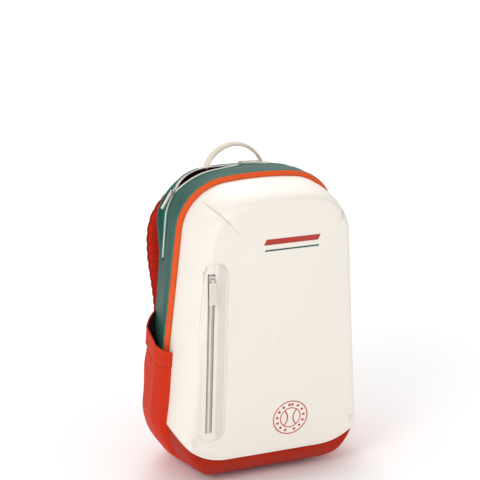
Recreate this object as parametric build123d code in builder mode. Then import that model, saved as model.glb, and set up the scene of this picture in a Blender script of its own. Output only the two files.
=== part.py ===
from build123d import *
from math import acos, asin, atan2, cos, degrees, hypot, radians, sin, tan
import os

os.makedirs("parts", exist_ok=True)

# A racket backpack, standing on its base. -Y is the front panel, +Y the side on the wearer's
# back, -X the side with the parted zip, +Z up. The origin is on the floor, near the middle of it.

# Form of the filled pack
pack_height = 481.0
pack_half_width = 158.0  # level with the centres of the lower corners
corner_radius = 83.0
side_taper = 5.2  # degrees each side leans in
shoulder_radius = 83.0
crown_radius = 520.0
crest_y = 15.0  # the gusset is fullest here
back_y = 91.0
rear_step = 12.0  # how much narrower and lower the back is than the crest
back_round = 10.0
seam_y = -11.0  # front shell's seam at mid height
front_y = -105.5  # front face at mid height
front_lean = 4.9  # degrees the front face leans out at the top
front_round = 16.0
undercut_y = -25.0  # the base starts to rise here, towards the front
undercut_radius = 70.0
wall = 3.0

# Bound seam between the front shell and the gusset
band_step = 6.5  # how much narrower and lower the front shell is
band_depth = 6.5

# Panels
base_height = 47.0
panel_bottom = 48.0  # lower edge of the front shell
panel_corner = 85.0
panel_margin = 4.0  # beyond the pack's half width

# Main zip
zip_y = 48.0
zip_tape_width = 9.0  # each half
zip_tape_thickness = 1.5
zip_drop = 141.0  # from the crown down to the zip's closed ends
coil_width = 4.4
coil_height = 1.4
mouth_start = 144.0  # degrees round the shoulder where the parted stretch starts
mouth_end_x = -2.0
mouth_gap = 42.0
mouth_reach = 70.0  # depth of the cut that parts the panels

# Zip sliders and pulls
slider_width = 9.6
slider_length = 13.0
slider_plate = 1.4
slider_gap = 0.4
bail_height = 3.2
bail_rod = 1.3
bail_span = 4.6
rod_clearance = 0.1
hub_wall = 0.85
slider_guide = 1.0
guide_length = 9.1
bail_post = 1.4
slider_end_gap = 1.0
main_pull = (28.0, 9.0, 2.0)  # length, width, thickness
left_pull_drop = 4.0  # degrees the tab hangs below the zip's line
top_pull_drop = 2.0

# Front pocket
pocket_side_gap = 55.0  # from the pack's side to the pocket's middle
pocket_width = 43.0
pocket_bottom = 82.0
pocket_drop = 105.0  # from the crown down to the pocket's top
pocket_film = 0.8
pocket_zip_shift = 5.0  # the zip lies this far outside the pocket's middle
pocket_slot = 9.0
pocket_zip_foot = 17.0  # film below the zip
pocket_zip_head = 18.0  # film above it
pocket_tape_width = 26.0
pocket_tape_thickness = 0.8
tape_margin = 6.0
tape_round = 2.0
coil_end_gap = 0.5
coil_round = 1.0
pocket_pull = (34.0, 10.0, 2.0)
pouch_depth = 9.0
pouch_wall = 1.2
pouch_width = 80.0
pouch_margin = 15.0
pouch_round = 6.0

# Badge
badge_x = 26.0
badge_z = 104.0
badge_radius = 29.5
badge_thickness = 0.8

# Side pockets
side_pocket_front = -26.0
side_pocket_rear_gap = 7.0  # between its rear edge and the back
side_pocket_bulge = 17.0
side_pocket_wall = 2.4
side_pocket_sweep = 98.0  # radius of the pocket's lower corner
side_pocket_sweep_in = 86.0  # its centre's distance in from the pack's side
side_pocket_sweep_z = 99.0
lip_height = 214.0  # at the front shell's seam
lip_slope = 17.0  # degrees the lip rises to the rear
hem_width = 31.0

# Back
frame_sheet_thickness = 2.0
pad_thickness = 8.0
pad_width = 78.0
pad_gap = 34.0
pad_bottom = 165.0
pad_drop = 81.0
pad_round = 20.0
pad_edge = 0.4  # share of the thickness that its rim is rounded by
lumbar_width = 148.0
lumbar_bottom = 70.0
lumbar_top = 150.0
yoke_width = 150.0
yoke_thickness = 3.0
yoke_drop = 33.0
yoke_height = 38.0
yoke_round = 10.0

# Inside
board_thickness = 3.0
board_front_gap = 11.0  # behind the start of the base's rise
board_round = 8.0
sheet_margin = 14.0
divider_thickness = 5.0
divider_y = 50.0
divider_margin = 7.0
divider_drop = 101.0

# Shoulder straps
strap_width = 62.0
strap_thickness = 16.0
strap_tuck = 2.0  # the strap's top lies this far below the yoke's
strap_lead = 24.0
strap_end_z = 150.0
strap_end_in = 11.0  # the strap's end lies this far inside its anchor
buckle_stand = 18.0  # from the back to the middle of the buckle
webbing_width = 25.0
webbing_thickness = 1.6
buckle_width = 34.0
buckle_height = 26.0
buckle_thickness = 6.0
buckle_round = 4.0
buckle_edge = 0.8
buckle_slot = 5.2
webbing_tuck = 3.0
tail_length = 85.0
anchor_side_gap = 54.0
anchor_z = 62.0
anchor_size = 36.0
anchor_thickness = 3.0

# Handle
handle_radius = 50.0
handle_drop = 30.0  # from the crown down to the arch's centre
handle_inset = 11.0
handle_width = 20.0
handle_thickness = 3.0
handle_foot_gap = 2.4
handle_patch = (22.0, 24.0, 0.9)

fit_gap = 0.3  # between faces that move past each other
near_half = 0.01  # keeps fully round ends just short of a half circle
beyond = 600.0  # longer than any part, for cutting tools

# Places that follow from the pack's size
panel_half_width = pack_half_width + panel_margin
zip_lower_end = pack_height - zip_drop
pocket_x = pocket_side_gap - pack_half_width
pocket_zip_x = pocket_x - pocket_zip_shift
pocket_top = pack_height - pocket_drop
pocket_zip_bottom = pocket_bottom + pocket_zip_foot
pocket_zip_top = pocket_top - pocket_zip_head
side_pocket_rear = back_y - side_pocket_rear_gap
side_pocket_sweep_x = pack_half_width - side_pocket_sweep_in
pad_top = pack_height - pad_drop
yoke_top = pack_height - yoke_drop
yoke_bottom = yoke_top - yoke_height
board_half_width = pack_half_width - corner_radius - rear_step
board_front = undercut_y + board_front_gap
board_rear = back_y - back_round - wall
divider_top = pack_height - divider_drop
strap_top_z = yoke_top - strap_tuck
buckle_y = back_y + buckle_stand
anchor_x = pack_half_width - anchor_side_gap
strap_end_x = strap_end_in - anchor_x
handle_centre_z = pack_height - handle_drop
handle_y = back_y - handle_inset


def at_depth(y):
    """Plane across the pack at the depth y, its normal to the rear and its second axis up."""
    return Plane(origin=(0, y, 0), x_dir=(-1, 0, 0), z_dir=(0, 1, 0))


def leaned(y, out=0.0):
    """Plane parallel to the front face through the depth y at mid height, moved out by a distance."""
    lean = radians(front_lean)
    face = Plane(
        origin=(0, y, pack_height / 2), x_dir=(1, 0, 0), z_dir=(0, -cos(lean), -sin(lean))
    )
    return face.offset(out)


def shoulder_arc(step):
    """Centre, radius and turn from upright of the shoulder of the outline that is smaller by the step."""
    taper = radians(side_taper)
    crown = crown_radius - step
    radius = shoulder_radius - step
    crown_z = pack_height - crown_radius
    corner_x = pack_half_width - step - corner_radius
    side_distance = corner_x * cos(taper) + corner_radius * sin(taper) + corner_radius
    spread = asin((side_distance - radius - crown_z * sin(taper)) / (crown - radius)) - taper
    centre = ((crown - radius) * sin(spread), crown_z + (crown - radius) * cos(spread))
    return centre, radius, degrees(spread)


def outline(step, inset):
    """Pack's outline seen from the front, narrower and lower by the step, moved in by the inset."""
    shoulder_centre, shoulder, turn = shoulder_arc(step)
    corner_x = pack_half_width - step - corner_radius
    crown_z = pack_height - crown_radius
    with BuildSketch() as shape:
        with BuildLine():
            corner = CenterArc(
                (corner_x, corner_radius), corner_radius - inset, -90, 90 + side_taper
            )
            round_top = CenterArc(
                shoulder_centre, shoulder - inset, side_taper, 90 - turn - side_taper
            )
            Line((0, inset), corner @ 0)
            Line(corner @ 1, round_top @ 0)
            CenterArc((0, crown_z), crown_radius - step - inset, 90 - turn, turn)
            mirror(about=Plane.YZ)
        make_face()
    return shape.sketch


def rear_form(inset):
    """Solid form behind the front shell's seam, moved in by the inset."""
    overhang = pack_height * tan(radians(front_lean))
    with BuildPart() as form:
        with BuildSketch(at_depth(crest_y)):
            add(outline(0, inset))
        with BuildSketch(at_depth(back_y - inset)):
            add(outline(rear_step, inset))
        loft(ruled=True)
        with BuildSketch(at_depth(crest_y)):
            add(outline(0, inset))
        extrude(amount=seam_y - crest_y - overhang)
        split(bisect_by=leaned(seam_y), keep=Keep.BOTTOM)
        fillet(form.faces().sort_by(Axis.Y)[-1].edges(), back_round - inset)
    return form.part


def front_form(inset):
    """Solid form in front of the seam, moved in by the inset, with its lower edge cut back."""
    overhang = pack_height * tan(radians(front_lean))
    with BuildPart() as form:
        with BuildSketch(at_depth(front_y - overhang)):
            add(outline(band_step, inset))
        extrude(amount=seam_y - front_y + 2 * overhang)
        split(bisect_by=leaned(seam_y), keep=Keep.TOP)
        split(bisect_by=leaned(front_y, -inset), keep=Keep.BOTTOM)
        fillet(form.faces().sort_by(Axis.Y)[0].edges(), front_round - inset)
        with BuildSketch(Plane.YZ):
            with BuildLine():
                sweep_back = CenterArc(
                    (undercut_y, undercut_radius), undercut_radius - inset, 180, 90
                )
                Line(sweep_back @ 1, (undercut_y, -undercut_radius))
                Line((undercut_y, -undercut_radius), (front_y * 2, -undercut_radius))
                Line((front_y * 2, -undercut_radius), (front_y * 2, undercut_radius))
                Line((front_y * 2, undercut_radius), sweep_back @ 0)
            make_face()
        extrude(amount=beyond, both=True, mode=Mode.SUBTRACT)
    return form.part


def slab(low_y, high_y, low_z, high_z):
    """Block over the pack's whole width between two depths and two heights, for cutting."""
    with BuildPart() as block:
        with BuildSketch(Plane.YZ):
            with Locations(((low_y + high_y) / 2, (low_z + high_z) / 2)):
                Rectangle(high_y - low_y, high_z - low_z)
        extrude(amount=beyond, both=True)
    return block.part


# Outer surface values at the depth of the main zip
zip_step = rear_step * (zip_y - crest_y) / (back_y - crest_y)
zip_tilt = atan2(rear_step, back_y - crest_y)
arc_centre, arc_radius, arc_turn = shoulder_arc(zip_step)
zip_crown_radius = crown_radius - zip_step
zip_crown_z = pack_height - crown_radius


def on_shoulder(angle):
    """Point of the left shoulder's zip line at an angle from +X."""
    a = radians(angle)
    return (-arc_centre[0] + arc_radius * cos(a), zip_y, arc_centre[1] + arc_radius * sin(a))


def on_crown(x):
    """Point of the zip line over the crown at the place x."""
    return (x, zip_y, zip_crown_z + (zip_crown_radius**2 - x**2) ** 0.5)


mouth_start_point = on_shoulder(mouth_start)
mouth_end_point = on_crown(mouth_end_x)
mouth_length = hypot(
    mouth_end_point[0] - mouth_start_point[0], mouth_end_point[2] - mouth_start_point[2]
)


def mouth_tool(grow):
    """Lens-shaped cutter through the parted stretch of the zip, wider by the growth each side."""
    along = Vector(*mouth_end_point) - Vector(*mouth_start_point)
    middle = (Vector(*mouth_end_point) + Vector(*mouth_start_point)) * 0.5
    across = Plane(origin=middle, x_dir=along, z_dir=Vector(-along.Z, 0, along.X))
    half = mouth_length / 2 + grow
    swell = mouth_gap / 2 + grow
    with BuildPart() as tool:
        with BuildSketch(across):
            with BuildLine():
                ThreePointArc((-half, 0), (0, swell), (half, 0))
                ThreePointArc((half, 0), (0, -swell), (-half, 0))
            make_face()
        extrude(amount=mouth_reach, both=True)
    return tool.part


# Skins
rear_solid = rear_form(0)
front_solid = front_form(0)
with BuildPart() as rear_skin:
    add(rear_solid)
    add(rear_form(wall), mode=Mode.SUBTRACT)
with BuildPart() as front_skin:
    add(front_solid)
    add(front_form(wall), mode=Mode.SUBTRACT)
with BuildPart() as panel_prism:
    with BuildSketch(at_depth(0)):
        with BuildLine():
            edge = CenterArc(
                (panel_half_width - panel_corner, panel_bottom + panel_corner),
                panel_corner,
                -90,
                90,
            )
            Line((0, panel_bottom), edge @ 0)
            Line(edge @ 1, (panel_half_width, beyond))
            Line((panel_half_width, beyond), (0, beyond))
            mirror(about=Plane.YZ)
        make_face()
    extrude(amount=beyond, both=True)


def lip_plane(down):
    """Plane of the side pockets' lip, moved down by a distance."""
    slope = radians(lip_slope)
    plane = Plane(
        origin=(0, seam_y, lip_height), x_dir=(1, 0, 0), z_dir=(0, -sin(slope), cos(slope))
    )
    return plane.offset(-down)


# Front shell with its pocket slot
with BuildPart() as front_shell:
    add(front_skin.part)
    add(panel_prism.part, mode=Mode.INTERSECT)
    with BuildSketch(at_depth(0)):
        with Locations((-pocket_zip_x, (pocket_zip_bottom + pocket_zip_top) / 2)):
            Rectangle(pocket_slot, pocket_zip_top - pocket_zip_bottom)
    extrude(amount=-beyond, mode=Mode.SUBTRACT)
front_shell.part.label = "front_shell"
export_step(front_shell.part, "parts/front_shell.step")

# Bound seam above the side pockets
with BuildPart() as bound_seam:
    add(rear_solid)
    with BuildSketch(at_depth(0)):
        add(outline(band_step, wall))
    extrude(amount=beyond, both=True, mode=Mode.SUBTRACT)
    split(bisect_by=leaned(seam_y, -band_depth), keep=Keep.TOP)
    split(bisect_by=lip_plane(0), keep=Keep.TOP)
bound_seam.part.label = "bound_seam"
export_step(bound_seam.part, "parts/bound_seam.step")

# Base: floor, the strip under the front shell and the seam below the pocket lips
with BuildPart() as seam_below:
    add(rear_solid)
    with BuildSketch(at_depth(0)):
        add(outline(band_step, wall))
    extrude(amount=beyond, both=True, mode=Mode.SUBTRACT)
    split(bisect_by=leaned(seam_y, -band_depth), keep=Keep.TOP)
    split(bisect_by=lip_plane(0), keep=Keep.BOTTOM)
with BuildPart() as base_rear:
    add(rear_skin.part)
    split(bisect_by=leaned(seam_y, -band_depth), keep=Keep.BOTTOM)
    split(bisect_by=Plane.XY.offset(base_height), keep=Keep.BOTTOM)
with BuildPart() as base_tub:
    add(front_skin.part)
    add(panel_prism.part, mode=Mode.SUBTRACT)
    add(seam_below.part)
    add(base_rear.part)
base_tub.part.label = "base_tub"
export_step(base_tub.part, "parts/base_tub.step")

# Gusset bands either side of the main zip
zip_front_edge = zip_y - zip_tape_width
zip_rear_edge = zip_y + zip_tape_width
with BuildPart() as zip_zone:
    add(slab(zip_front_edge, zip_rear_edge, zip_lower_end, beyond))
    add(mouth_tool(zip_tape_width))
with BuildPart() as front_gusset:
    add(rear_skin.part)
    split(bisect_by=leaned(seam_y, -band_depth), keep=Keep.BOTTOM)
    split(bisect_by=at_depth(zip_y), keep=Keep.BOTTOM)
    split(bisect_by=Plane.XY.offset(base_height), keep=Keep.TOP)
    add(zip_zone.part, mode=Mode.SUBTRACT)
front_gusset.part.label = "front_gusset"
export_step(front_gusset.part, "parts/front_gusset.step")

with BuildPart() as rear_gusset:
    add(rear_skin.part)
    split(bisect_by=at_depth(zip_y), keep=Keep.TOP)
    split(bisect_by=at_depth(back_y - back_round), keep=Keep.BOTTOM)
    split(bisect_by=Plane.XY.offset(base_height), keep=Keep.TOP)
    add(zip_zone.part, mode=Mode.SUBTRACT)
rear_gusset.part.label = "rear_gusset"
export_step(rear_gusset.part, "parts/rear_gusset.step")

# Main zip: two tapes, parted at the mouth, and the closed coil on either side of it
with BuildPart() as tape_band:
    add(rear_solid)
    add(rear_form(zip_tape_thickness), mode=Mode.SUBTRACT)
    add(zip_zone.part, mode=Mode.INTERSECT)
    add(mouth_tool(0), mode=Mode.SUBTRACT)
for tape_name, kept in (("front_zip_tape", Keep.BOTTOM), ("rear_zip_tape", Keep.TOP)):
    with BuildPart() as tape:
        add(tape_band.part)
        split(bisect_by=at_depth(zip_y), keep=kept)
    tape.part.label = tape_name
    export_step(tape.part, f"parts/{tape_name}.step")

with BuildPart() as coil_band:
    add(rear_form(-coil_height))
    add(rear_solid, mode=Mode.SUBTRACT)
    add(
        slab(zip_y - coil_width / 2, zip_y + coil_width / 2, zip_lower_end, beyond),
        mode=Mode.INTERSECT,
    )
    add(mouth_tool(0), mode=Mode.SUBTRACT)
for coil_name, side in (("left_zip_coil", Keep.BOTTOM), ("right_zip_coil", Keep.TOP)):
    with BuildPart() as coil:
        add(coil_band.part)
        split(bisect_by=Plane.YZ.offset((mouth_start_point[0] + mouth_end_x) / 2), keep=side)
    coil.part.label = coil_name
    export_step(coil.part, f"parts/{coil_name}.step")


def zip_place(point, angle):
    """Plane on the main zip at a point: first axis along the zip, normal out of the pack."""
    a = radians(angle)
    normal = (cos(a) * cos(zip_tilt), sin(zip_tilt), sin(a) * cos(zip_tilt))
    return Plane(origin=point, x_dir=(sin(a), 0, -cos(a)), z_dir=normal)


plate_low = coil_height + slider_gap
plate_top = plate_low + slider_plate
rod_height = plate_top + bail_height - bail_rod


def make_slider(place):
    """Zip slider: a plate over the coil, two side guides and a bail that holds the pull."""
    guide_y = coil_width / 2 + slider_gap + slider_guide / 2
    with BuildPart() as body:
        with BuildSketch(place.offset(plate_low)):
            RectangleRounded(slider_length, slider_width, slider_width / 4)
        extrude(amount=slider_plate)
        with BuildSketch(place.offset(fit_gap)):
            with Locations((0, guide_y), (0, -guide_y)):
                Rectangle(guide_length, slider_guide)
        extrude(amount=plate_low)
        with BuildSketch(place.offset(plate_top)):
            with GridLocations(0, bail_span + bail_post, 1, 2):
                Rectangle(bail_rod * 2, bail_post)
        extrude(amount=bail_height)
        rod_plane = Plane(
            origin=place.from_local_coords((0, 0, rod_height)), x_dir=place.x_dir, z_dir=place.y_dir
        )
        with BuildSketch(rod_plane):
            Circle(bail_rod / 2)
        extrude(amount=bail_span / 2 + bail_post, both=True)
    return body.part


def make_pull(place, size, drop):
    """Pull tab hung on the bail's rod, pointing back along the zip and dropped by some degrees."""
    length, width, thickness = size
    neck = bail_span - 2 * fit_gap
    hole = bail_rod / 2 + rod_clearance
    hub = hole + hub_wall
    reach = bail_rod * 2.5
    along = place.x_dir * cos(radians(drop)) + place.z_dir * sin(radians(drop))
    flat = Plane(
        origin=place.from_local_coords((0, 0, rod_height)), x_dir=along, z_dir=place.y_dir
    )
    with BuildPart() as tab:
        with BuildSketch(flat):
            Circle(hub)
            with Locations((-reach / 2, 0)):
                Rectangle(reach, thickness)
            Circle(hole, mode=Mode.SUBTRACT)
        extrude(amount=neck / 2, both=True)
        with BuildSketch(flat):
            with Locations((-reach - length / 2, 0)):
                Rectangle(length, thickness)
        extrude(amount=width / 2, both=True)
    return tab.part


# Main zip's sliders at both ends of the parted stretch
end_angle = degrees(acos(mouth_end_x / zip_crown_radius))
start_place = zip_place(mouth_start_point, mouth_start)
end_place = zip_place(mouth_end_point, end_angle)
turned_end = Plane(origin=end_place.origin, x_dir=-end_place.x_dir, z_dir=end_place.z_dir)
for part_name, made in (
    ("left_slider", make_slider(start_place)),
    ("left_pull", make_pull(start_place, main_pull, left_pull_drop)),
    ("top_slider", make_slider(turned_end)),
    ("top_pull", make_pull(turned_end, main_pull, top_pull_drop)),
):
    made.label = part_name
    export_step(made, f"parts/{part_name}.step")


# Front pocket: film frame round the slot, tape and coil behind it, pouch inside
pocket_middle = (pocket_bottom + pocket_top) / 2
zip_middle = (pocket_zip_bottom + pocket_zip_top) / 2
zip_length = pocket_zip_top - pocket_zip_bottom


def front_layer(outer, inner, x, z, width, length, rounded):
    """Layer of the front panel between two insets, inside an upright rounded rectangle."""
    with BuildPart() as layer:
        add(front_form(outer))
        add(front_form(inner), mode=Mode.SUBTRACT)
        with BuildSketch(Plane.XZ):
            with Locations((x, z)):
                RectangleRounded(width, length, rounded)
        extrude(amount=beyond, mode=Mode.INTERSECT)
    return layer.part


with BuildPart() as pocket_frame:
    add(
        front_layer(
            -pocket_film,
            0,
            pocket_x,
            pocket_middle,
            pocket_width,
            pocket_top - pocket_bottom,
            pocket_width / 2 - near_half,
        )
    )
    with BuildSketch(Plane.XZ):
        with Locations((pocket_zip_x, zip_middle)):
            Rectangle(pocket_slot, zip_length)
    extrude(amount=beyond, mode=Mode.SUBTRACT)
coil_inset = wall - coil_height - slider_gap
tape_inset = wall + pocket_tape_thickness
pouch_x = pocket_zip_x - pocket_tape_width / 4 + pouch_width / 2
pouch_length = zip_length + 2 * pouch_margin
with BuildPart() as pocket_pouch:
    add(
        front_layer(
            tape_inset,
            tape_inset + pouch_depth,
            pouch_x,
            zip_middle,
            pouch_width,
            pouch_length,
            pouch_round,
        )
    )
    add(
        front_layer(
            tape_inset,
            tape_inset + pouch_depth - pouch_wall,
            pouch_x,
            zip_middle,
            pouch_width - 2 * pouch_wall,
            pouch_length - 2 * pouch_wall,
            pouch_round - pouch_wall,
        ),
        mode=Mode.SUBTRACT,
    )
tape_length = zip_length + 2 * tape_margin
coil_length = zip_length - 2 * coil_end_gap
badge_size = 2 * badge_radius
pocket_tape = front_layer(
    wall, tape_inset, pocket_zip_x, zip_middle, pocket_tape_width, tape_length, tape_round
)
pocket_coil = front_layer(
    coil_inset, wall, pocket_zip_x, zip_middle, coil_width, coil_length, coil_round
)
badge = front_layer(
    -badge_thickness, 0, badge_x, badge_z, badge_size, badge_size, badge_radius - near_half
)
lean = radians(front_lean)
slider_z = pocket_zip_top - slider_length / 2 - slider_end_gap
slide_plane = leaned(front_y, pocket_film + fit_gap - plate_low)
slider_point = slide_plane.from_local_coords(
    (pocket_zip_x, (slider_z - pack_height / 2) / cos(lean), 0)
)
pocket_place = Plane(origin=slider_point, x_dir=slide_plane.y_dir, z_dir=slide_plane.z_dir)
for part_name, made in (
    ("pocket_frame", pocket_frame.part),
    ("pocket_pouch", pocket_pouch.part),
    ("pocket_zip_tape", pocket_tape),
    ("pocket_zip_coil", pocket_coil),
    ("pocket_slider", make_slider(pocket_place)),
    ("pocket_pull", make_pull(pocket_place, pocket_pull, -front_lean)),
    ("badge", badge),
):
    made.label = part_name
    export_step(made, f"parts/{part_name}.step")

# Side pocket: a bulged outer layer over the gusset, open at its slanted lip
side_lean = radians(side_taper)
pocket_section = Plane(
    origin=(-pack_half_width, 0, corner_radius),
    x_dir=(0, 1, 0),
    z_dir=(sin(side_lean), 0, cos(side_lean)),
)


def pocket_block(inset):
    """Bulged block beside the pack, moved in by the inset: an arc in plan, a round lower corner."""
    middle = (side_pocket_front + side_pocket_rear) / 2
    with BuildPart() as block:
        with BuildSketch(pocket_section):
            with BuildLine():
                ThreePointArc(
                    (side_pocket_front, -inset),
                    (middle, side_pocket_bulge - inset),
                    (side_pocket_rear, -inset - rear_step),
                )
                Line((side_pocket_rear, -inset - rear_step), (side_pocket_rear, -pack_half_width))
                Line((side_pocket_rear, -pack_half_width), (side_pocket_front, -pack_half_width))
                Line((side_pocket_front, -pack_half_width), (side_pocket_front, -inset))
            make_face()
        extrude(amount=pack_height, both=True)
        with BuildSketch(Plane.XZ):
            with Locations((-side_pocket_sweep_x, side_pocket_sweep_z)):
                Circle(side_pocket_sweep - inset)
            with Locations((-pack_height / 2, side_pocket_sweep_z + pack_height / 2)):
                Rectangle(pack_height, pack_height)
        extrude(amount=beyond, both=True, mode=Mode.INTERSECT)
        split(bisect_by=leaned(seam_y, -inset), keep=Keep.BOTTOM)
    return block.part


with BuildPart() as left_layer:
    add(pocket_block(0))
    add(pocket_block(side_pocket_wall), mode=Mode.SUBTRACT)
    add(rear_solid, mode=Mode.SUBTRACT)
    split(bisect_by=lip_plane(0), keep=Keep.BOTTOM)
    split(bisect_by=Plane.YZ.offset(-side_pocket_sweep_x), keep=Keep.BOTTOM)
with BuildPart() as left_hem:
    add(left_layer.part)
    split(bisect_by=lip_plane(hem_width), keep=Keep.TOP)
with BuildPart() as left_pocket:
    add(left_layer.part)
    split(bisect_by=lip_plane(hem_width), keep=Keep.BOTTOM)

# Back: panel, frame sheet, pads, yoke
with BuildPart() as back_panel:
    add(rear_skin.part)
    split(bisect_by=at_depth(back_y - back_round), keep=Keep.TOP)
    split(bisect_by=Plane.XY.offset(base_height), keep=Keep.TOP)
with BuildPart() as frame_sheet:
    with BuildSketch(at_depth(back_y - wall - frame_sheet_thickness)):
        add(outline(rear_step, sheet_margin))
    extrude(amount=frame_sheet_thickness)
with BuildPart() as divider:
    with BuildSketch(at_depth(divider_y)):
        add(outline(rear_step, divider_margin))
    extrude(amount=divider_thickness)
    split(bisect_by=Plane.XY.offset(divider_top), keep=Keep.BOTTOM)
with BuildPart() as base_board:
    with BuildSketch(Plane.XY.offset(wall)):
        with Locations((0, (board_front + board_rear) / 2)):
            RectangleRounded(2 * board_half_width, board_rear - board_front, board_round)
    extrude(amount=board_thickness)


def back_pad(x, low, high, width, thickness, rounded):
    """Pad or patch on the back face with its outer edge rounded over."""
    with BuildPart() as pad:
        with BuildSketch(at_depth(back_y)):
            with Locations((-x, (low + high) / 2)):
                RectangleRounded(width, high - low, rounded)
        extrude(amount=thickness)
        fillet(pad.faces().sort_by(Axis.Y)[-1].edges(), thickness * pad_edge)
    return pad.part


pad_x = (pad_gap + pad_width) / 2
lumbar_pad = back_pad(0, lumbar_bottom, lumbar_top, lumbar_width, pad_thickness, pad_round)
strap_yoke = back_pad(0, yoke_bottom, yoke_top, yoke_width, yoke_thickness, yoke_round)
left_pad = back_pad(-pad_x, pad_bottom, pad_top, pad_width, pad_thickness, pad_round)

# Shoulder strap: a curved plank, the overlap of its front view and its side view
strap_top_y = back_y + yoke_thickness + fit_gap + strap_thickness / 2
with BuildPart() as left_strap:
    with BuildSketch(Plane.XZ):
        with BuildLine():
            Spline(
                (-42, strap_top_z + strap_lead),
                (-50, strap_top_z),
                (-74, strap_top_z - 34),
                (-99, strap_top_z - 70),
                (-104, strap_top_z - 116),
                (-97, strap_top_z - 196),
                (strap_end_x, strap_end_z),
            )
        trace(line_width=strap_width)
    extrude(amount=beyond, both=True)
    with BuildSketch(Plane.YZ):
        with BuildLine():
            Spline(
                (strap_top_y, strap_top_z + strap_lead),
                (strap_top_y, strap_top_z),
                (back_y + 19, strap_top_z - 34),
                (back_y + 25, strap_top_z - 70),
                (back_y + 25, strap_top_z - 116),
                (back_y + 20, strap_top_z - 196),
                (buckle_y, strap_end_z),
            )
        trace(line_width=strap_thickness)
    extrude(amount=beyond, both=True, mode=Mode.INTERSECT)
    split(bisect_by=Plane.XY.offset(strap_top_z), keep=Keep.BOTTOM)
buckle_z = strap_end_z - fit_gap - buckle_height / 2
with BuildPart() as left_buckle:
    with BuildSketch(at_depth(buckle_y - buckle_thickness / 2)):
        with Locations((-strap_end_x, buckle_z)):
            RectangleRounded(buckle_width, buckle_height, buckle_round)
            with GridLocations(0, buckle_height / 2, 1, 2):
                Rectangle(webbing_width + 1, buckle_slot, mode=Mode.SUBTRACT)
    extrude(amount=buckle_thickness)
    fillet(left_buckle.faces().sort_by(Axis.Y)[-1].edges(), buckle_edge)
buckle_bottom = buckle_z - buckle_height / 2
with BuildPart() as left_tail:
    with BuildSketch(Plane.XY.offset(buckle_bottom - fit_gap)):
        with Locations((strap_end_x, buckle_y + buckle_thickness / 2)):
            Rectangle(webbing_width, webbing_thickness)
    extrude(amount=-tail_length)
web_top = Vector(strap_end_x, buckle_y - buckle_thickness / 2, buckle_bottom - webbing_tuck)
web_foot = Vector(-anchor_x, back_y + anchor_thickness + webbing_thickness, anchor_z)
with BuildPart() as left_webbing:
    with BuildSketch(Plane(origin=web_foot, x_dir=(1, 0, 0), z_dir=web_top - web_foot)):
        Rectangle(webbing_width, webbing_thickness)
    extrude(amount=(web_top - web_foot).length)
with BuildPart() as left_anchor:
    with BuildSketch(at_depth(back_y)):
        with Locations((anchor_x, anchor_z)):
            RegularPolygon(anchor_size / 2, 3, rotation=90)
    extrude(amount=anchor_thickness)

# Handle: a webbing arch on the rear edge of the crown, its feet round about the line it tips on
handle_step = rear_step * (handle_y - crest_y) / (back_y - crest_y)
handle_crown = ((crown_radius - handle_step) ** 2 - handle_radius**2) ** 0.5
handle_pivot_z = zip_crown_z + handle_crown + handle_foot_gap + handle_width / 2
with BuildPart() as handle:
    with BuildSketch(at_depth(handle_y - handle_width / 2)):
        with Locations((0, handle_centre_z)):
            Circle(handle_radius + handle_thickness / 2)
            Circle(handle_radius - handle_thickness / 2, mode=Mode.SUBTRACT)
    extrude(amount=handle_width)
    with BuildSketch(Plane.YZ):
        with Locations((handle_y, handle_pivot_z)):
            Circle(handle_width / 2)
        with Locations((handle_y, handle_pivot_z + handle_radius / 2)):
            Rectangle(handle_width, handle_radius)
    extrude(amount=pack_half_width, both=True, mode=Mode.INTERSECT)
with BuildPart() as handle_patches:
    add(rear_form(-handle_patch[2]))
    add(rear_solid, mode=Mode.SUBTRACT)
    with BuildSketch(Plane.XY.offset(handle_centre_z)):
        with Locations((-handle_radius, handle_y), (handle_radius, handle_y)):
            Rectangle(handle_patch[0], handle_patch[1])
    extrude(amount=pack_height, mode=Mode.INTERSECT)

for part_name, made in (
    ("back_panel", back_panel.part),
    ("frame_sheet", frame_sheet.part),
    ("racket_divider", divider.part),
    ("base_board", base_board.part),
    ("lumbar_pad", lumbar_pad),
    ("strap_yoke", strap_yoke),
    ("handle", handle.part),
    ("handle_patches", handle_patches.part),
):
    made.label = part_name
    export_step(made, f"parts/{part_name}.step")

# Pieces that come as a left one and its mirror image
for part_name, made in (
    ("side_pocket", left_pocket.part),
    ("pocket_hem", left_hem.part),
    ("back_pad", left_pad),
    ("shoulder_strap", left_strap.part),
    ("strap_buckle", left_buckle.part),
    ("webbing_tail", left_tail.part),
    ("lower_webbing", left_webbing.part),
    ("lower_anchor", left_anchor.part),
):
    made.label = f"left_{part_name}"
    export_step(made, f"parts/left_{part_name}.step")
    mirrored = mirror(made, about=Plane.YZ)
    mirrored.label = f"right_{part_name}"
    export_step(mirrored, f"parts/right_{part_name}.step")
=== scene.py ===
from math import cos, pi, radians, sin, tan

import bmesh
import bpy
import numpy as np
from mathutils import Matrix, Vector
from mathutils.bvhtree import BVHTree


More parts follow.
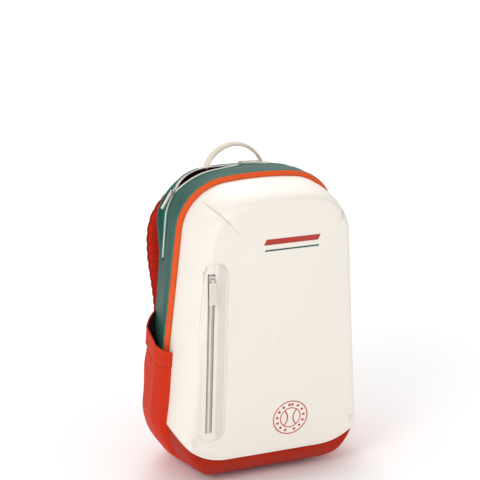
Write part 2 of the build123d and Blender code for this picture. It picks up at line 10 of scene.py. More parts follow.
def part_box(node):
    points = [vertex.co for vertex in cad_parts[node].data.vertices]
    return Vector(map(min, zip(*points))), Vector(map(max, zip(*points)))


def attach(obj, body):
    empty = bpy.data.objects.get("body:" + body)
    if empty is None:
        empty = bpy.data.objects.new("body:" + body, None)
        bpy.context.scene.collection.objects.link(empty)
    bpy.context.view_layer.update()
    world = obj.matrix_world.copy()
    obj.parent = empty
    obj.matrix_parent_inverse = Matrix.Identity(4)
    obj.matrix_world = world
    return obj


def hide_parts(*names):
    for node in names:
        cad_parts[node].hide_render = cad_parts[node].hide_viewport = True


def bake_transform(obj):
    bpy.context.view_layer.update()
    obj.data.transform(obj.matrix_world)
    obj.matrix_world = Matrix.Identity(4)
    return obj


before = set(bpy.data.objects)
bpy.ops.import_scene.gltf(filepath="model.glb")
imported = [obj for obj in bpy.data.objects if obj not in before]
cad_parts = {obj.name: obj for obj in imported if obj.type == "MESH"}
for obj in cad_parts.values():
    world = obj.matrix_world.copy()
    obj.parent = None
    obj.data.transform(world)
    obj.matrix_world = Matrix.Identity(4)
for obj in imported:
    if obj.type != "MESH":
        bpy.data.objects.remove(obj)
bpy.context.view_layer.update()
print("frame loaded:", len(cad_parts), "nodes")

# camera, light, floor
view = {"place": (-0.746186, -1.905996, 0.982477), "right": (0.93416, -0.35684, -0.00274),
        "up": (0.10524, 0.26815, 0.95761), "lens": 103.47, "sensor": 36.0}
studio = {"floor": (0.97, 0.97, 0.97), "world": 0.72,
          # each lamp: its place, what it points at, its size and its power
          "lamps": {"keyLight": ((-1.9, -1.5, 1.9), (0, 0, 0.25), 1.3, 22.0),
                    "fillLight": ((1.9, -1.6, 1.2), (0, 0, 0.25), 1.8, 3.0),
                    "rimLight": ((0.4, 1.9, 1.9), (0, 0, 0.3), 1.5, 12.0),
                    "backLight": ((1.6, 5.2, 3.6), (1.6, 5.2, 0), 5.0, 130.0)}}


def makeCamera():
    # the three axes of the camera make its turning matrix: right, up and backwards
    right, up = Vector(view["right"]).normalized(), Vector(view["up"])
    up = (up - right * up.dot(right)).normalized()
    turn = Matrix((right, up, right.cross(up))).transposed().to_4x4()
    camera = bpy.data.objects.new("camera", bpy.data.cameras.new("camera"))
    camera.matrix_world = Matrix.Translation(view["place"]) @ turn
    camera.data.lens, camera.data.sensor_width = view["lens"], view["sensor"]
    bpy.context.collection.objects.link(camera)
    bpy.context.scene.camera = camera


def makeLight(name, place, target, size, power):
    lamp = bpy.data.lights.new(name, "AREA")
    lamp.size, lamp.energy, lamp.shape = size, power, "DISK"
    light = bpy.data.objects.new(name, lamp)
    light.location = place
    light.rotation_euler = (Vector(target) - Vector(place)).to_track_quat("-Z", "Y").to_euler()
    bpy.context.collection.objects.link(light)


makeCamera()
for name, lamp in studio["lamps"].items():
    makeLight(name, *lamp)
world = bpy.data.worlds.new("studioWorld")
bpy.context.scene.world = world
world.use_nodes = True
sky = world.node_tree.nodes["Background"]
sky.inputs[0].default_value, sky.inputs[1].default_value = (1, 1, 1, 1), studio["world"]
bpy.context.scene.view_settings.view_transform = "Standard"


# shader writing
class Wire:
    # a socket that takes part in sums; each operator adds one Math node
    def __init__(self, shader, socket):
        self.shader, self.socket = shader, socket

    def math(self, operation, *others):
        values = {0: self}
        values.update({i + 1: other for i, other in enumerate(others)})
        return self.shader.node("ShaderNodeMath", {"operation": operation}, values)

    def __add__(self, other):
        return self.math("ADD", other)

    def __sub__(self, other):
        return self.math("SUBTRACT", other)

    def __rsub__(self, other):
        return self.math("MULTIPLY", -1.0).math("ADD", other)

    def __mul__(self, other):
        return self.math("MULTIPLY", other)

    def __truediv__(self, other):
        return self.math("DIVIDE", other)

    __radd__, __rmul__ = __add__, __mul__


class Shader:
    # one material: its node tree, and one method that adds any node
    def __init__(self, name):
        self.material = bpy.data.materials.new(name)
        self.material.use_nodes = True
        self.tree = self.material.node_tree
        self.surface = self.tree.nodes["Principled BSDF"]

    def node(self, kind, settings=None, values=None, out=0):
        made = self.tree.nodes.new(kind)
        for key, value in (settings or {}).items():
            setattr(made, key, value)
        self.feed(made, values or {})
        return Wire(self, made.outputs[out])

    def feed(self, made, values):
        for key, value in values.items():
            if isinstance(value, Wire):
                self.tree.links.new(value.socket, made.inputs[key])
            else:
                made.inputs[key].default_value = value

    def put(self, **values):
        # names on the surface shader, with underscores for spaces
        self.feed(self.surface, {key.replace("_", " "): value for key, value in values.items()})

    def mix(self, factor, first, second):
        return self.node("ShaderNodeMix", {"data_type": "RGBA"}, {0: factor, 6: first, 7: second}, 2)

    def noise(self, scale, detail=3.0, where=None):
        values = {"Scale": scale, "Detail": detail, "Roughness": 0.5, "Vector": where or self.place("Object")}
        return self.node("ShaderNodeTexNoise", None, values)

    def place(self, kind):
        out = {"Object": 3, "UV": 2}[kind]
        return self.node("ShaderNodeTexCoord", None, None, out)

    def axes(self, kind):
        split = self.node("ShaderNodeSeparateXYZ", None, {0: self.place(kind)})
        return [Wire(self, output) for output in split.socket.node.outputs]

    def bump(self, height, distance, strength=1.0):
        self.put(Normal=self.node("ShaderNodeBump", None,
                                  {"Height": height, "Distance": distance, "Strength": strength}))


def rgb(red, green, blue):
    # screen colour 0-255 to the shader's linear colour
    line = [(c / 255 / 12.92) if c <= 10 else ((c / 255 + 0.055) / 1.055) ** 2.4 for c in (red, green, blue)]
    return (*line, 1.0)


def wovenCloth(name, light, dark, pitch, relief, rough=0.7, sheen=0.05, where="UV", mottle=0.3):
    # plain weave: over and under threads alternate like a chessboard of half waves
    s = Shader(name)
    across, along = s.axes(where)[:2] if where == "UV" else s.axes(where)[0::2]
    waveA = (across * (pi / pitch)).math("SINE")
    waveB = (along * (pi / pitch)).math("SINE")
    over = (waveA * waveB).math("GREATER_THAN", 0.0)
    height = over * waveA.math("ABSOLUTE") + (1.0 - over) * waveB.math("ABSOLUTE")
    cloud = s.noise(22.0, 4.0)
    shade = (1.0 - height) * 0.55 + (cloud - 0.5) * mottle + 0.18
    s.put(Base_Color=s.mix(shade.math("MAXIMUM", 0.0).math("MINIMUM", 1.0), light, dark),
          Roughness=rough, Sheen_Weight=sheen, Sheen_Roughness=0.4, Specular_IOR_Level=0.18)
    s.bump(height + s.noise(60.0, 3.0) * 1.2, relief)
    return s.material


def coatedShell():
    # cream coated fabric: pebbled fine grain, faint clouds, a light satin coat
    s = Shader("creamCoating")
    grain = s.node("ShaderNodeTexVoronoi", {"feature": "SMOOTH_F1"},
                   {"Vector": s.place("Object"), "Scale": 950.0, "Smoothness": 0.6})
    cloud = s.noise(7.0, 4.0)
    fine = s.noise(160.0, 3.0)
    s.put(Base_Color=s.mix(cloud * 0.5 + fine * 0.25, rgb(249, 243, 234), rgb(238, 229, 218)),
          Roughness=fine * 0.16 + 0.42, Specular_IOR_Level=0.35, Coat_Weight=0.06, Coat_Roughness=0.4)
    s.bump(grain * 0.5 + s.noise(420.0, 2.0) * 0.6 + s.noise(38.0, 3.0) * 1.6, 0.00022, 0.7)
    return s.material


def plainRubber(name, light, dark, rough=0.5, relief=0.00006):
    s = Shader(name)
    cloud = s.noise(45.0, 4.0)
    s.put(Base_Color=s.mix(cloud, light, dark), Roughness=cloud * 0.2 + rough - 0.1, Specular_IOR_Level=0.4)
    s.bump(s.noise(900.0, 2.0), relief)
    return s.material


def satinMetal(name, colour):
    # plated metal: fine scratches along the piece and worn, rougher patches
    s = Shader(name)
    x, y, z = s.axes("Object")
    drawn = s.node("ShaderNodeCombineXYZ", None, {0: x * 2600.0, 1: y * 300.0, 2: z * 300.0})
    streak = s.noise(1.0, 2.0, drawn)
    s.put(Base_Color=s.mix(streak * 0.5, colour, (0.45, 0.44, 0.42, 1)), Metallic=1.0,
          Roughness=streak * 0.18 + 0.2)
    s.bump(streak, 0.00003)
    return s.material


def ribbedBand(name, light, dark, pitch, relief, direction=0, cross=0.0):
    # grosgrain or webbing: ribs across the band, broken up by finer threads
    s = Shader(name)
    axes = s.axes("UV")
    rib = (axes[direction] * (pi / pitch)).math("SINE").math("ABSOLUTE")
    thread = (axes[1 - direction] * (pi / (pitch * 0.7))).math("SINE").math("ABSOLUTE")
    height = rib * (1.0 - cross) + thread * cross
    cloud = s.noise(55.0, 3.0)
    s.put(Base_Color=s.mix((1.0 - height) * 0.5 + cloud * 0.3, light, dark), Roughness=0.72,
          Sheen_Weight=0.05, Sheen_Roughness=0.4, Specular_IOR_Level=0.3)
    s.bump(height + cloud * 0.6, relief)
    return s.material


def airMesh(name, light, dark, pitch):
    # spacer mesh: rows of round holes, each second row set over by half
    s = Shader(name)
    x, _, z = s.axes("Object")
    holes = (x * (pi / pitch)).math("SINE") * (z * (pi / pitch)).math("SINE")
    hollow = holes.math("ABSOLUTE").math("POWER", 0.6)
    s.put(Base_Color=s.mix(hollow * 0.8 + s.noise(50.0) * 0.3 - 0.1, light, dark), Roughness=0.85,
          Sheen_Weight=0.15, Specular_IOR_Level=0.2)
    s.bump(1.0 - hollow, 0.0006)
    return s.material


def pocketFilm(slotX, bandFrom=0.0105, bandTo=0.0225, pitch=0.0013):
    # bonded film with a dotted embossed band to the right of its slot
    s = Shader("pocketFilm")
    x, _, z = s.axes("Object")
    band = (x - (slotX + bandFrom)).math("GREATER_THAN", 0.0) * (x - (slotX + bandTo)).math("LESS_THAN", 0.0)
    dots = (x * (pi / pitch)).math("SINE") * (z * (pi / pitch)).math("SINE")
    dot = dots.math("GREATER_THAN", 0.25) * band
    s.put(Base_Color=s.mix(dot * 0.75 + s.noise(30.0) * 0.2, rgb(248, 241, 231), rgb(206, 195, 186)),
          Roughness=0.5, Specular_IOR_Level=0.35)
    s.bump(s.noise(500.0, 2.0) * 0.4 - dot * 0.8, 0.0003)
    return s.material


def ballPrint(centre, radius):
    # round print: two rings and the seam of a ball, in red on cream
    s = Shader("ballPrint")
    x, _, z = s.axes("Object")
    across, up = (x - centre[0]) / radius, (z - centre[1]) / radius
    reach = (across * across + up * up).math("SQRT")

    def ring(distance, middle, half):
        return (distance - middle).math("ABSOLUTE").math("LESS_THAN", half)

    def seam(offset):
        shifted = across - offset
        return ring((shifted * shifted + up * up).math("SQRT"), 0.62, 0.035)

    inside = reach.math("LESS_THAN", 0.56)
    mark = ring(reach, 0.95, 0.03).math("MAXIMUM", ring(reach, 0.56, 0.028))
    mark = mark.math("MAXIMUM", (seam(0.78).math("MAXIMUM", seam(-0.78))) * inside)
    spoke = ((up / across.math("ABSOLUTE").math("MAXIMUM", 0.001)).math("ARCTANGENT") * 14.0).math("SINE")
    mark = mark.math("MAXIMUM", spoke.math("GREATER_THAN", 0.35) * ring(reach, 0.755, 0.07))
    s.put(Base_Color=s.mix(mark, rgb(247, 240, 231), rgb(196, 66, 48)), Roughness=0.5, Specular_IOR_Level=0.3)
    s.bump(mark + s.noise(500.0, 2.0) * 0.3, 0.00015)
    return s.material


cream = coatedShell()
# darker cream for the dart folds: painted shade along the dart creases
dartShade = plainRubber("dartShade", rgb(214, 200, 188), rgb(196, 180, 168), 0.6)
orangeBand = ribbedBand("orangeBinding", rgb(246, 98, 34), rgb(205, 66, 14), 0.0011, 0.0002, 0)
orangeThread = plainRubber("orangeThread", rgb(250, 120, 60), rgb(225, 85, 30), 0.6)
tealCloth = wovenCloth("tealWeave", rgb(14, 98, 86), rgb(2, 48, 42), 0.0009, 0.00016, 0.5)
# lighter teal for the piping, the zip welts and their stitches: a painted highlight on the gusset's rolled
# edge beside the binding
tealTrimHighlight = ribbedBand("tealTrimHighlight", rgb(66, 140, 122), rgb(26, 92, 80), 0.0012, 0.0001, 1)
redCloth = wovenCloth("redWeave", rgb(212, 44, 14), rgb(146, 20, 4), 0.0010, 0.00016)
brickCloth = wovenCloth("brickWeave", rgb(204, 44, 14), rgb(136, 20, 4), 0.0010, 0.00016)
vermilionCloth = wovenCloth("vermilionWeave", rgb(228, 58, 22), rgb(176, 32, 8), 0.0010, 0.00014)
strapCloth = wovenCloth("strapWeave", rgb(222, 46, 18), rgb(150, 18, 5), 0.0011, 0.00018)
# near-black red-brown for the inner faces of the gussets, side pockets and back panel: painted shade of the
# pack's shaded insides
liningPaintedShade = wovenCloth("liningPaintedShade", rgb(92, 26, 20), rgb(52, 12, 10), 0.0008, 0.0001, 0.8, 0.1)
tapeCloth = wovenCloth("zipTape", rgb(243, 236, 222), rgb(205, 193, 172), 0.0007, 0.00012)
coilPlastic = plainRubber("zipCoil", rgb(250, 244, 236), rgb(226, 216, 204), 0.4)
creamRubber = plainRubber("pullRubber", rgb(243, 234, 221), rgb(219, 205, 186), 0.5)
# dark taupe for thin strips along both edges of the pocket slot: painted shadow of the gap at each edge
slotEdgeShade = plainRubber("slotEdgeShade", rgb(150, 128, 124), rgb(120, 100, 98), 0.5)
metal = satinMetal("zipMetal", (0.74, 0.73, 0.71, 1))
webbing = ribbedBand("creamWebbing", rgb(245, 236, 221), rgb(212, 196, 172), 0.0016, 0.0003, 1, 0.25)
redWebbing = ribbedBand("redWebbing", rgb(178, 34, 18), rgb(104, 14, 8), 0.0016, 0.0003, 1, 0.25)
blackPlastic = plainRubber("bucklePlastic", rgb(48, 46, 46), rgb(26, 25, 25), 0.45, 0.00008)
greyBoard = plainRubber("stiffener", rgb(60, 58, 56), rgb(38, 37, 36), 0.6, 0.0001)
mesh = airMesh("airMesh", rgb(150, 34, 22), rgb(48, 8, 6), 0.0028)
print("materials made")

# the pack's form
form = {"height": 0.481, "halfWidth": 0.158, "cornerRadius": 0.083, "taper": radians(5.2),
        "shoulderRadius": 0.083, "crownRadius": 0.520, "crestY": 0.015, "backY": 0.091,
        "rearStep": 0.012, "backRound": 0.010, "seamY": -0.011, "frontY": -0.1055,
        "lean": radians(4.9), "bandStep": 0.0065, "undercutY": -0.025, "undercutRadius": 0.070,
        "frontInset": 0.021, "frontPower": 2.4, "domeHalf": (0.125, 0.2), "frontDome": 0.0022,
        "frontSag": 0.0005, "slump": 0.009, "slumpZ": 0.395, "slumpHalf": 0.05}


def blendTo(first, second, k):
    return first * (1 - k) + second * k


def smoothStep(a, b, x):
    k = np.clip((x - a) / (b - a), 0, 1)
    return k * k * (3 - 2 * k)


def spread(*values):
    # numbers and arrays brought to one shape
    return np.broadcast_arrays(*(np.asarray(value, float) for value in values))


def outlineAngles(step):
    # the turn of the shoulder arc from upright, for an outline smaller by the step
    f = form
    radius, crown = f["shoulderRadius"] - step, f["crownRadius"] - step
    crownZ = f["height"] - f["crownRadius"]
    cornerX = f["halfWidth"] - step - f["cornerRadius"]
    reach = cornerX * cos(f["taper"]) + f["cornerRadius"] * (sin(f["taper"]) + 1)
    turned = np.arcsin((reach - radius - crownZ * sin(f["taper"])) / (crown - radius)) - f["taper"]
    return turned, radius, crown, crownZ, cornerX


def outlineBreaks():
    # shares of the half outline's length: floor, corner arc, side, shoulder arc, crown
    f = form
    turned, radius, crown, crownZ, cornerX = outlineAngles(0.0)
    low = np.array([cornerX + radius * cos(f["taper"]), f["cornerRadius"] * (1 + sin(f["taper"]))])
    high = np.array([(crown - radius) * sin(turned) + radius * cos(f["taper"]),
                     crownZ + (crown - radius) * cos(turned) + radius * sin(f["taper"])])
    lengths = [cornerX, f["cornerRadius"] * (pi / 2 + f["taper"]), np.linalg.norm(high - low),
               radius * (pi / 2 - turned - f["taper"]), crown * turned]
    return np.cumsum(lengths)[:4] / sum(lengths)


breaks = outlineBreaks()


def outlinePoint(u, step, inset):
    # u runs from -1 at the floor's middle, up the left side to 0 on the crown, down to 1.
    # The half outline is a line, an arc, a line, an arc and an arc, each taking its share of u.
    f = form
    u, step, inset = spread(u, step, inset)
    t = 1 - np.abs(u)
    turned, radius, crown, crownZ, cornerX = outlineAngles(step)
    share = [np.clip((t - a) / (b - a), 0, 1) for a, b in zip((0, *breaks), (*breaks, 1))]
    low = -pi / 2 + (pi / 2 + f["taper"]) * share[1]
    high = f["taper"] + (pi / 2 - turned - f["taper"]) * share[3]
    top = pi / 2 - turned + turned * share[4]
    cornerR = f["cornerRadius"] - inset
    shoulderR = radius - inset
    x = blendTo(cornerX + cornerR * np.cos(low),
                (crown - radius) * np.sin(turned) + shoulderR * np.cos(high), share[2])
    z = blendTo(f["cornerRadius"] + cornerR * np.sin(low),
                crownZ + (crown - radius) * np.cos(turned) + shoulderR * np.sin(high), share[2])
    onTop, onFloor = t > breaks[3], t < breaks[0]
    x = np.where(onTop, (crown - inset) * np.cos(top), np.where(onFloor, cornerX * share[0], x))
    z = np.where(onTop, crownZ + (crown - inset) * np.sin(top), np.where(onFloor, inset, z))
    return np.where(u < 0, -x, x), z


def seamY(z):
    return form["seamY"] - (z - form["height"] / 2) * tan(form["lean"])


def underCut(points):
    # the front of the base is rolled up on a cylinder that lies across the pack
    f = form
    y, z = points[..., 1] - f["undercutY"], points[..., 2] - f["undercutRadius"]
    reach = np.maximum(np.hypot(y, z), 1e-6)
    pull = np.where((y < 0) & (z < 0), np.minimum(1, f["undercutRadius"] / reach), 1)
    points[..., 1] = f["undercutY"] + y * pull
    points[..., 2] = f["undercutRadius"] + z * pull
    return points


def rearSurface(u, y, proud=0.0):
    # behind the seam: the outline shrinks from the crest to the back, then rounds over to the back face
    f = form
    u, y, proud = spread(u, y, proud)
    flat = np.minimum(y, f["backY"] - f["backRound"])
    past = np.clip((y - flat) / f["backRound"], 0, 1)
    step = f["rearStep"] * np.clip((y - f["crestY"]) / (f["backY"] - f["crestY"]), 0, 1)
    inset = f["backRound"] * (1 - np.sqrt(1 - past**2)) - proud
    z = outlinePoint(u, step, inset)[1]
    # the cloth behind the left zip slumps outwards below the mouth, most at the height slumpZ
    slump = smoothStep(0.055, 0.071, y) * (1 - smoothStep(0.073, 0.087, y))
    slump = slump * np.exp(-(((z - f["slumpZ"]) / f["slumpHalf"]) ** 2))
    x, z = outlinePoint(u, step, inset - f["slump"] * slump * (u < 0))
    return np.stack([x, y, z], -1)


def faceDome(x, z):
    # the front face swells towards its middle, and a few slow waves make it uneven
    halfX, halfZ = form["domeHalf"]
    share = (1 - (x / halfX) ** 2).clip(0) * (1 - ((z - 0.24) / halfZ) ** 2).clip(0)
    waves = np.sin(x * 41 + z * 23 + 1.0) + np.sin(z * 47 - x * 29 + 2.2) + np.sin(z * 71 + x * 13)
    return share * (form["frontDome"] + form["frontSag"] * waves)


def frontFace(x, z, proud=0.0):
    # the front surface at a place on its face, at least as high as the lower corners
    f = form
    side = (np.abs(x) - (f["halfWidth"] - f["bandStep"] - f["cornerRadius"])) * cos(f["taper"])
    inset = f["cornerRadius"] - side - (z - f["cornerRadius"]) * sin(f["taper"])
    share = 1 - (inset / f["frontInset"]).clip(0, 1)
    depth = (f["seamY"] - f["frontY"]) * (1 - share ** f["frontPower"]) ** (1 / f["frontPower"])
    return np.stack([x, seamY(z) - depth - faceDome(x, z) - proud, z], -1)


def frontSurface(u, w):
    # w from 0 at the seam to 1 follows a superellipse inwards and forwards, to 2 runs to the face's middle
    f = form
    u, w = spread(u, w)
    turn = np.clip(w, 0, 1) * pi / 2
    inset = f["frontInset"] * (1 - np.cos(turn).clip(0) ** (2 / f["frontPower"]))
    depth = (f["seamY"] - f["frontY"]) * np.sin(turn) ** (2 / f["frontPower"])
    x, z = outlinePoint(u, f["bandStep"], inset)
    k = np.clip(w - 1, 0, 1)
    x, z = x * (1 - k), blendTo(z, f["height"] * 0.5, k)
    return underCut(np.stack([x, seamY(z) - depth - faceDome(x, z), z], -1))


def unit(v):
    return v / np.maximum(np.linalg.norm(v, axis=-1, keepdims=True), 1e-12)


def normalsOf(points):
    # cross product of the differences along the grid's two ways, turned to point outwards
    a, b = np.gradient(points, axis=0), np.gradient(points, axis=1)
    n = unit(np.cross(a, b))
    outward = points - np.array([0, 0.0, form["height"] / 2])
    return n if (n * outward).sum() > 0 else -n


def sideU(z, step=0.0):
    # the place round the outline where its right side has the height z
    t = np.linspace(breaks[0] * 0.2, 1, 800)
    return 1 - np.interp(z, outlinePoint(1 - t, step, 0.0)[1], t)


# meshes
def makePiece(name, points, faces, material, body="pack", uv=None, slot=None, stands=()):
    # a new object from a list of points and a list of faces with equal corners
    data = bpy.data.meshes.new(name)
    data.from_pydata(points.reshape(-1, 3).tolist(), [], faces.tolist())
    if uv is not None:
        layer = data.uv_layers.new(name="UVMap")
        corner = np.empty(len(data.loops), dtype=np.int32)
        data.loops.foreach_get("vertex_index", corner)
        layer.data.foreach_set("uv", uv.reshape(-1, 2)[corner].astype(np.float32).ravel())
    data.polygons.foreach_set("use_smooth", np.full(len(data.polygons), True))
    data.update()
    piece = bpy.data.objects.new(name, data)
    bpy.context.collection.objects.link(piece)
    for each in material if isinstance(material, (list, tuple)) else [material]:
        data.materials.append(each)
    if body:
        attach(piece, body)
    if stands:
        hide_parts(*stands)
    return piece


def gridFaces(rows, columns, loopRows=False, loopColumns=False, flip=False):
    i = np.arange(rows if loopRows else rows - 1)
    j = np.arange(columns if loopColumns else columns - 1)
    i, j = np.meshgrid(i, j, indexing="ij")
    i2, j2 = (i + 1) % rows, (j + 1) % columns
    quads = np.stack([i * columns + j, i2 * columns + j, i2 * columns + j2, i * columns + j2], -1)
    quads = quads.reshape(-1, 4)
    return quads[:, ::-1] if flip else quads


def lengthUv(points):
    # each point's distance along its row and its column, in metres
    along = np.linalg.norm(np.diff(points, axis=0), axis=-1).mean(axis=1)
    across = np.linalg.norm(np.diff(points, axis=1), axis=-1).max(axis=0)
    a, b = np.append(0, np.cumsum(along)), np.append(0, np.cumsum(across))
    return np.stack(np.meshgrid(a, b, indexing="ij"), -1)


def facesOut(points, loopRows=False, loopColumns=False, centre=None):
    # faces of a grid, wound so that they look away from the centre
    rows, columns = points.shape[:2]
    a, b = np.gradient(points, axis=0), np.gradient(points, axis=1)
    middle = np.array([0, 0, form["height"] / 2]) if centre is None else centre
    inward = (np.cross(a, b) * (points - middle)).sum() < 0
    return gridFaces(rows, columns, loopRows, loopColumns, flip=inward)


def skin(name, points, material, thickness, centre=None, loopRows=False, **more):
    # a fabric layer: the grid is its outer face and a live Solidify gives it its thickness inwards
    faces = facesOut(points, loopRows, False, centre)
    piece = makePiece(name, points, faces, material, uv=lengthUv(points), **more)
    wall = piece.modifiers.new("thickness", "SOLIDIFY")
    wall.thickness, wall.offset = thickness, -1
    if isinstance(material, (list, tuple)):
        wall.material_offset, wall.material_offset_rim = 1, 0
    return piece


def squareRound(count, powerA, powerB):
    # a ring of cosines and sines, their sizes raised to powers: round at 1, squarer below
    turn = np.linspace(0, 2 * pi, count, endpoint=False)
    ca, sa = np.cos(turn), np.sin(turn)
    return np.sign(ca) * np.abs(ca) ** powerA, np.sign(sa) * np.abs(sa) ** powerB


def tube(name, path, frameA, frameB, halfA, halfB, material, sides, power=1.0, **more):
    # a closed section carried along a path: a superellipse with half sizes along two frame vectors
    ca, sa = squareRound(sides, power, power)
    halfA, halfB = np.broadcast_to(halfA, len(path)), np.broadcast_to(halfB, len(path))
    points = (path[:, None] + frameA[:, None] * (halfA[:, None] * ca)[..., None]
              + frameB[:, None] * (halfB[:, None] * sa)[..., None])
    half = len(path) // 2
    flip = np.dot(np.cross(frameA[half], frameB[half]), path[half + 1] - path[half]) > 0
    faces = gridFaces(len(path), sides, False, True, flip)
    piece = makePiece(name, points, faces, material, uv=lengthUv(points), **more)
    fillEnds(piece, len(path), sides, flip)
    return piece


def fillEnds(piece, rows, sides, flip):
    # one flat face over the first ring of points and one over the last
    work = bmesh.new()
    work.from_mesh(piece.data)
    work.verts.ensure_lookup_table()
    first = [work.verts[i] for i in range(sides)]
    last = [work.verts[(rows - 1) * sides + i] for i in range(sides)]
    for ring in (first if flip else first[::-1], last[::-1] if flip else last):
        work.faces.new(ring)
    bmesh.ops.recalc_face_normals(work, faces=work.faces)
    work.to_mesh(piece.data)
    work.free()


def pathFrames(path, outward):
    # for each point of a path: its direction, the outward vector squared to it, and the third
    outward = np.asarray(outward, float)
    ahead = unit(np.gradient(path, axis=0))
    out = unit(outward - ahead * (outward * ahead).sum(-1, keepdims=True))
    return ahead, out, unit(np.cross(ahead, out))


def lengthAlong(path):
    # each point's distance from the path's first point, along the path
    return np.append(0, np.cumsum(np.linalg.norm(np.diff(path, axis=0), axis=1)))


def readAt(places, along, *arrays):
    # the columns of each array at places along a path
    return [np.stack([np.interp(places, along, column) for column in values.T], 1) for values in arrays]


# the two directions that flat pieces face, and a point behind all pieces of the front
forwards, backwards = (0.0, -1.0, 0.0), (0.0, 1.0, 0.0)
behindFront = np.array([0, 5.0, 0.2])


stitch = {"pitch": 0.0036, "length": 0.0024, "radius": 0.00036}


def stitches(name, path, outward, material, lift=0.0002, **more):
    # a row of small spindles, each with a six-sided waist and pointed ends
    along = lengthAlong(path)
    places = np.arange(stitch["pitch"] / 2, along[-1], stitch["pitch"])
    middle, ahead, out, aside = readAt(places, along, path, *pathFrames(path, outward))
    turn = np.linspace(0, 2 * pi, 6, endpoint=False)[None, :, None]
    ring = (out[:, None] * np.cos(turn) + aside[:, None] * np.sin(turn)) * stitch["radius"]
    middle = (middle + out * lift)[:, None]
    tip = ahead[:, None] * stitch["length"] / 2
    points = np.concatenate([middle - tip, middle - tip * 0.6 + ring, middle + tip * 0.6 + ring,
                             middle + tip], 1)
    k = np.arange(6)
    after = (k + 1) % 6
    one = np.concatenate([np.stack(corners, 1) for corners in (
        (0 * k, 1 + after, 1 + k), (1 + k, 1 + after, 7 + k), (1 + after, 7 + after, 7 + k),
        (7 + k, 7 + after, 13 + 0 * k))])
    faces = (one[None] + 14 * np.arange(len(middle))[:, None, None]).reshape(-1, 3)
    return makePiece(name, points, faces, material, **more)


def crumple(points, size, amount, seed):
    # a soft uneven swell: a few waves in fixed directions, added up
    random = np.random.default_rng(seed)
    total = np.zeros(points.shape[:-1])
    for _ in range(7):
        way = random.normal(size=3)
        way /= np.linalg.norm(way)
        total += np.sin(points @ way * 2 * pi / size * random.uniform(0.7, 1.6) + random.uniform(0, 6))
    return total * amount / 3


# front shell and boot
shell = {"panelBottom": 0.048, "panelCorner": 0.085, "panelHalf": 0.162, "columns": 360, "rows": 80,
         "proud": 0.0012, "thickness": 0.0022,
         # each dart's two ends on the front, and its groove
         "darts": (((-0.101, 0.4515), (-0.066, 0.416)), ((0.121, 0.440), (0.088, 0.413))),
         "dartDepth": 0.0022, "dartWidth": 0.0055, "dartFold": 0.00055}


def panelDistance(x, z):
    # how far outside the cream panel's rounded lower outline a point lies; negative inside
    s = shell
    dx = np.abs(x) - (s["panelHalf"] - s["panelCorner"])
    dz = (s["panelBottom"] + s["panelCorner"]) - z
    both = np.hypot(np.maximum(dx, 0), np.maximum(dz, 0)) - s["panelCorner"]
    return both + np.minimum(np.maximum(dx, dz), 0)


def dartLine(tree, start, end):
    # a straight chord from the seam to the face, dropped on the shell along the slant between them
    first = frontSurface(np.sign(start[0]) * sideU(start[1], form["bandStep"]), 0.12)
    chord = blendTo(first, frontFace(*np.array(end)), np.linspace(0, 1, 120)[:, None])
    slant = Vector((np.sign(start[0]) * 0.45, -0.75, 0.5)).normalized()
    hits = [tree.ray_cast(Vector(spot) + slant * 0.2, -slant) for spot in chord]
    return tuple(np.array([hit[i][:] for hit in hits if hit[0]]) for i in (0, 1))


def dartGroove(points, line):
    # depth of a sewn dart by the distance to its line, fading in from the seam and out at its end
    apart = np.linalg.norm(points[:, :, None] - line[None, None, ::3], axis=-1)
    nearest = apart.argmin(-1) / (len(line[::3]) - 1)
    ends = smoothStep(0.05, 0.35, nearest) * (1 - smoothStep(0.8, 1.0, nearest))
    return shell["dartDepth"] * ends * np.exp(-((apart.min(-1) / shell["dartWidth"]) ** 2))


pocket = {"x": -0.103, "width": 0.043, "bottom": 0.082, "top": 0.376, "film": 0.0009, "slotX": -0.108,
          "slot": 0.009, "zipBottom": 0.099, "zipTop": 0.358, "deep": 0.0030, "sideMargin": 0.0105}


def slotTrough(x, z):
    # the shell is pressed in under the film, where the pocket's zip lies
    p = pocket
    across = 1 - smoothStep(0.007, 0.012, np.abs(x - p["slotX"]))
    return p["deep"] * across * smoothStep(p["zipBottom"] - 0.006, p["zipBottom"], z) * (
        1 - smoothStep(p["zipTop"], p["zipTop"] + 0.006, z))


u = np.linspace(-1, 1, shell["columns"] + 1)[:-1]
for (x0, z0), (x1, z1) in shell["darts"]:
    # more columns where a dart crosses them
    place = np.sign(x0) * sideU(z0 - 0.004, form["bandStep"])
    u = np.append(u, place + np.linspace(-0.05, 0.05, 36))
lowCorner = np.linspace(sideU(0.13, form["bandStep"]), sideU(0.045, form["bandStep"]), 44)
u = np.unique(np.concatenate([u, lowCorner, -lowCorner]).round(6))
w = np.concatenate([np.linspace(0, 1, 60) ** 1.1, 1 + np.linspace(0, 1, 46)[1:]])
probe = frontSurface(u[:, None], w[None])
outside = panelDistance(probe[..., 0], probe[..., 2])
last = np.where(outside[:, ::-1] > 0, 1, 0).argmax(1)
crossing = np.where((outside > 0).any(1), len(w) - 1 - last, 0).clip(0, len(w) - 2)
pick = np.arange(len(u))
before, after = outside[pick, crossing], outside[pick, crossing + 1]
crossed = w[crossing] + (w[crossing + 1] - w[crossing]) * before / np.maximum(before - after, 1e-9)
edge = np.where((outside > 0).any(1), crossed, 0.0)  # where each column leaves the panel's outline
k = np.linspace(0, 1, shell["rows"])
rows = edge[:, None] + (2 - edge[:, None]) * k[None] ** 1.15
cover = frontSurface(u[:, None], rows)
cover[:, -1] = cover[:, -1].mean(0)
shellNormal = normalsOf(cover)
shellNormal[:, -1] = (0, -1, 0)
outsideBy = panelDistance(cover[..., 0], cover[..., 2])
low = 1 - smoothStep(0.10, 0.15, cover[..., 2])
